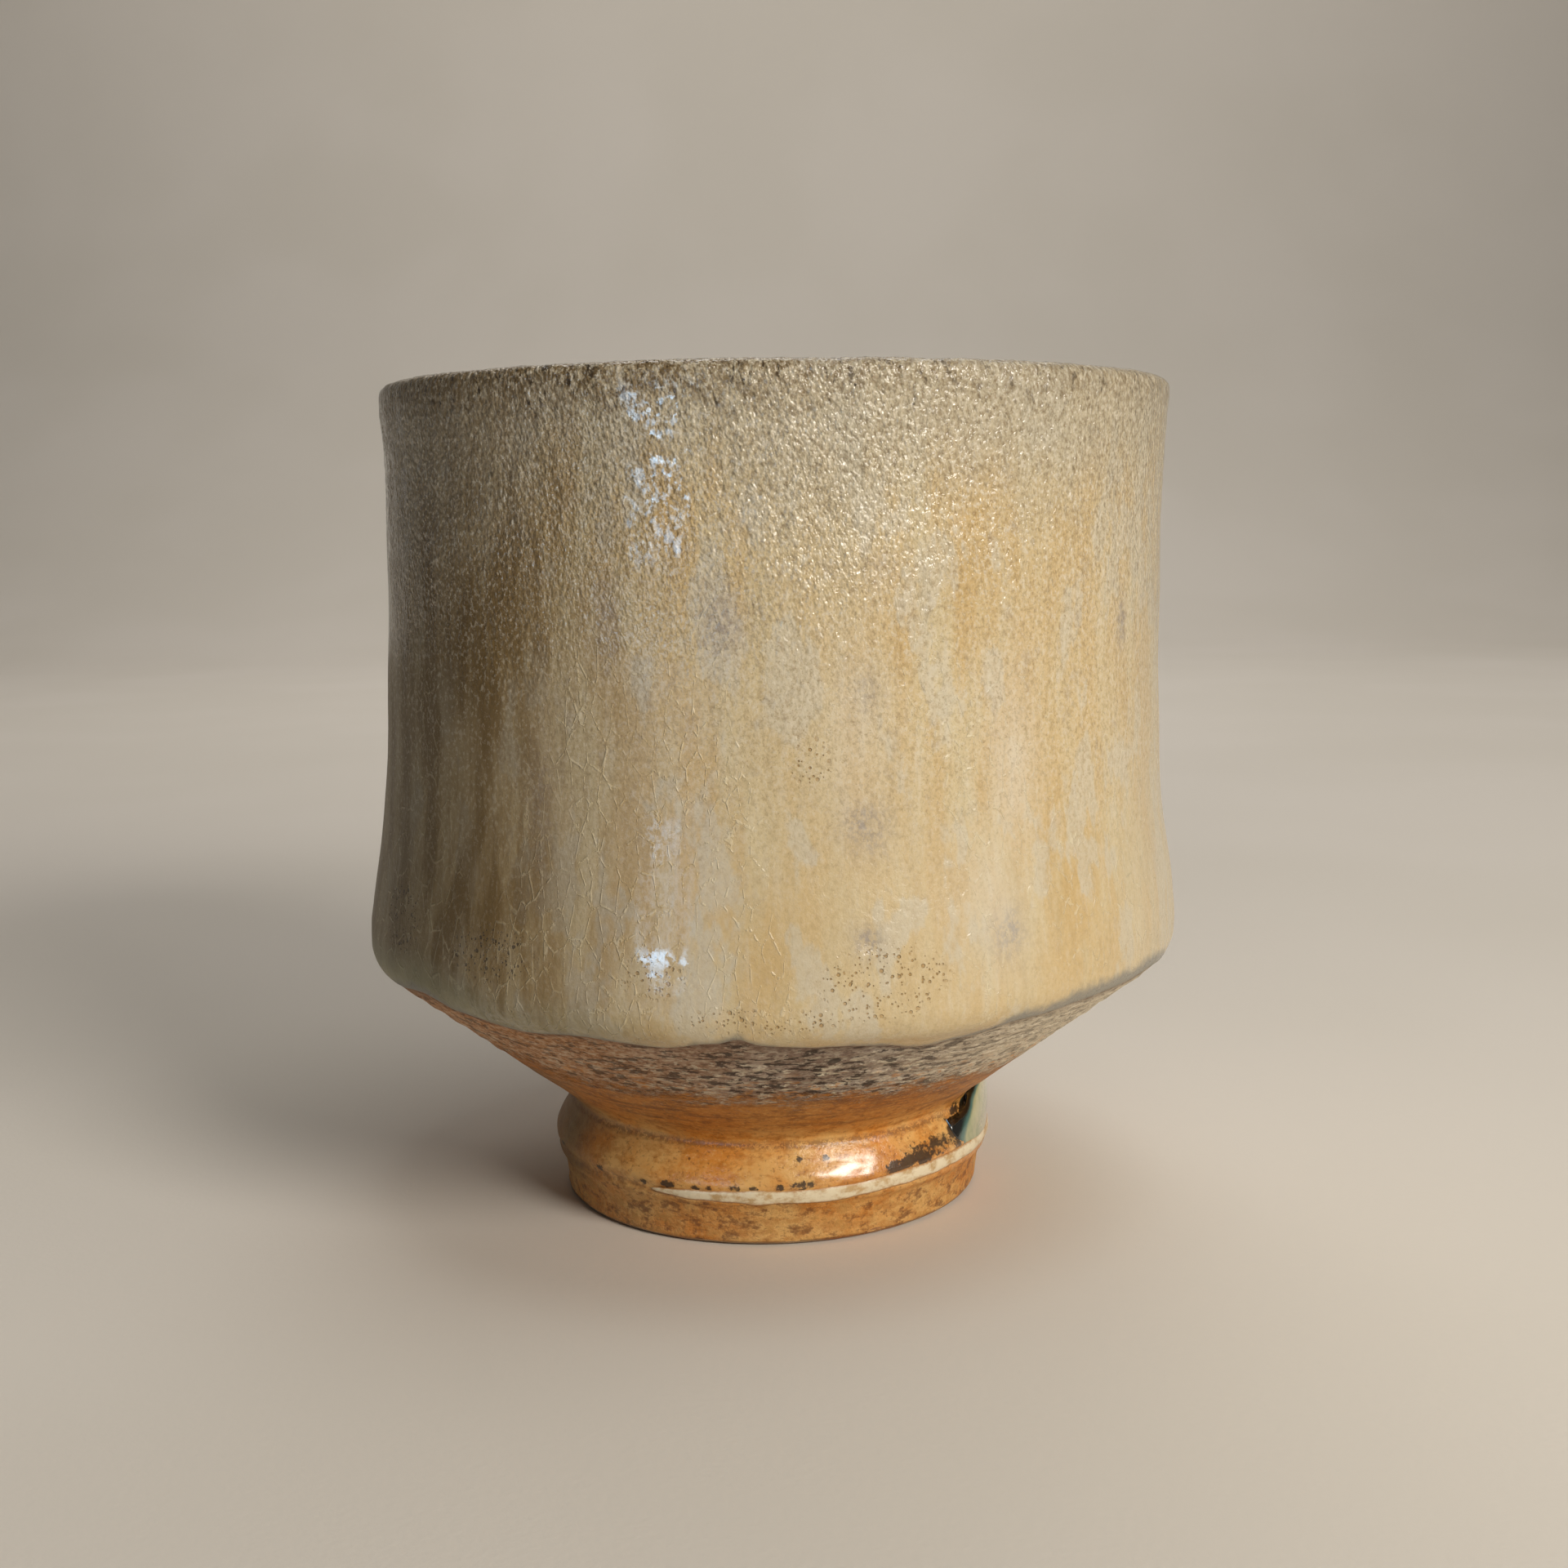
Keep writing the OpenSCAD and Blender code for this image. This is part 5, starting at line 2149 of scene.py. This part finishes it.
@dataclass
class Studio:
    """Pale paper sweep, soft lamps and the camera."""

    lens: float = 43.32
    sensor: float = 36.0
    clip: Point = (0.01, 20.0)
    eye: Triple = (1.68, -223.42, 80.39)
    pitch: float = 8.263
    roll: float = -1.0
    floor_front: float = -0.55
    floor_back: float = 1.3
    sweep_r: float = 0.5
    wall_top: float = 1.8
    half_wide: float = 0.95
    faint: float = 0.02
    backdrop: float = 0.14
    ground: Triple = (1.0, 0.96, 0.9)
    bowl_middle: Triple = (0.0, 0.0, 0.055)
    lamps: tuple[Lamp, ...] = (
        Lamp("key", 40.0, 24.0, 0.75, (0.32, 0.22), 4.0, (1.0, 0.95, 0.87)),
        Lamp("overhead", 60.0, 76.0, 0.9, (0.6, 0.6), 1.6, (1.0, 0.97, 0.93)),
        Lamp("cool_window", -29.5, 0.0, 0.90, (0.19, 0.05), 0.28, (0.42, 0.69, 1.0)),
        Lamp("cool_sky", -31.0, 6.0, 0.90, (0.25, 0.20), 0.85, (0.42, 0.69, 1.0), diffuse=False),
        Lamp("back_fill", 180.0, 42.0, 1.0, (0.8, 0.4), 1.3, (1.0, 0.97, 0.93)),
        Lamp("wall_wash", 180.0, 62.0, 1.0, (0.9, 0.3), 3.2, (1.0, 0.97, 0.93), (0.0, floor_back, 0.35)),
    )

    def build(self) -> None:
        """Build floor, lamps, world and camera."""
        self._floor()
        for lamp in self.lamps:
            self._hang(lamp)
        self._world()
        self._camera()

    def _floor(self) -> None:
        """Extrude the paper's side line across the studio."""
        bm = bmesh.new()
        back = self.floor_back - self.sweep_r
        line = [(self.floor_front, 0.0), (back, 0.0)]
        line += [(back + p[0], p[1]) for p in arc((0.0, self.sweep_r), self.sweep_r, -90, 0, 24)[1:]]
        line.append((self.floor_back, self.wall_top))
        verts = [bm.verts.new((-self.half_wide, y, z)) for y, z in line]
        edges = [bm.edges.new(pair) for pair in zip(verts, verts[1:])]
        made = bmesh.ops.extrude_edge_only(bm, edges=edges)
        moved = [v for v in made["geom"] if isinstance(v, bmesh.types.BMVert)]
        bmesh.ops.translate(bm, verts=moved, vec=(2 * self.half_wide, 0, 0))
        floor = dressed(bm, "paper_sweep", PaleFloor().make())
        LOG.info("paper_sweep: stage")

    def _hang(self, lamp: Lamp) -> None:
        """Hang a soft box that faces the bowl, or another place.

        Args:
            lamp: What hangs where.
        """
        light = bpy.data.lights.new(lamp.name, "AREA")
        light.shape = "ELLIPSE"
        light.size, light.size_y = lamp.size
        light.energy = lamp.power
        light.color = lamp.colour
        a, e = math.radians(lamp.az), math.radians(lamp.rise)
        back = Vector((math.sin(a) * math.cos(e), -math.cos(a) * math.cos(e), math.sin(e)))
        held = bpy.data.objects.new(lamp.name, light)
        held.location = Vector(self.bowl_middle) + back * lamp.far
        facing = Vector(lamp.aim or self.bowl_middle) - held.location
        held.rotation_euler = facing.to_track_quat("-Z", "Y").to_euler()
        held.visible_camera = False
        held.visible_diffuse = lamp.diffuse
        bpy.context.scene.collection.objects.link(held)

    def _world(self) -> None:
        """Faint light from all round, and a plain mid tone behind the paper's edge."""
        world = bpy.data.worlds.new("studio")
        world.use_nodes = True
        bench = Bench(world.node_tree)
        rays = bench.node("ShaderNodeLightPath").outputs
        kinds = ("Is Camera Ray", "Is Glossy Ray", "Is Transmission Ray")
        seen, mirrored, through = (Value(bench, rays[kind]) for kind in kinds)
        strength = self.faint + seen.most(mirrored).most(through) * (self.backdrop - self.faint)
        ground = world.node_tree.nodes["Background"]
        bench.feed(ground, {"Color": (*self.ground, 1.0), "Strength": strength})
        bpy.context.scene.world = world

    def _camera(self) -> None:
        """Set the camera at the picture's angle."""
        lens = bpy.data.cameras.new("camera")
        lens.lens, lens.sensor_width = self.lens, self.sensor
        lens.clip_start, lens.clip_end = self.clip
        camera = bpy.data.objects.new("camera", lens)
        tilt = Matrix.Rotation(math.radians(90.0 - self.pitch), 4, "X")
        turned = Matrix.Rotation(math.radians(self.roll), 4, "Z")
        camera.matrix_world = Matrix.Translation(Vector(self.eye) * MM) @ tilt @ turned
        bpy.context.scene.collection.objects.link(camera)
        bpy.context.scene.camera = camera


def main() -> None:
    """Build every sub-assembly in order, then the studio."""
    logging.basicConfig(level=logging.INFO, format="%(message)s")
    bpy.context.scene.view_settings.view_transform = "Standard"
    pieces = (ThrownClay, OuterCoat, Liner, AshBand, FlashedSkin, WhiteLine, GreenPool, Studio)
    for piece in pieces:
        piece().build()


if __name__ == "__main__":
    main()
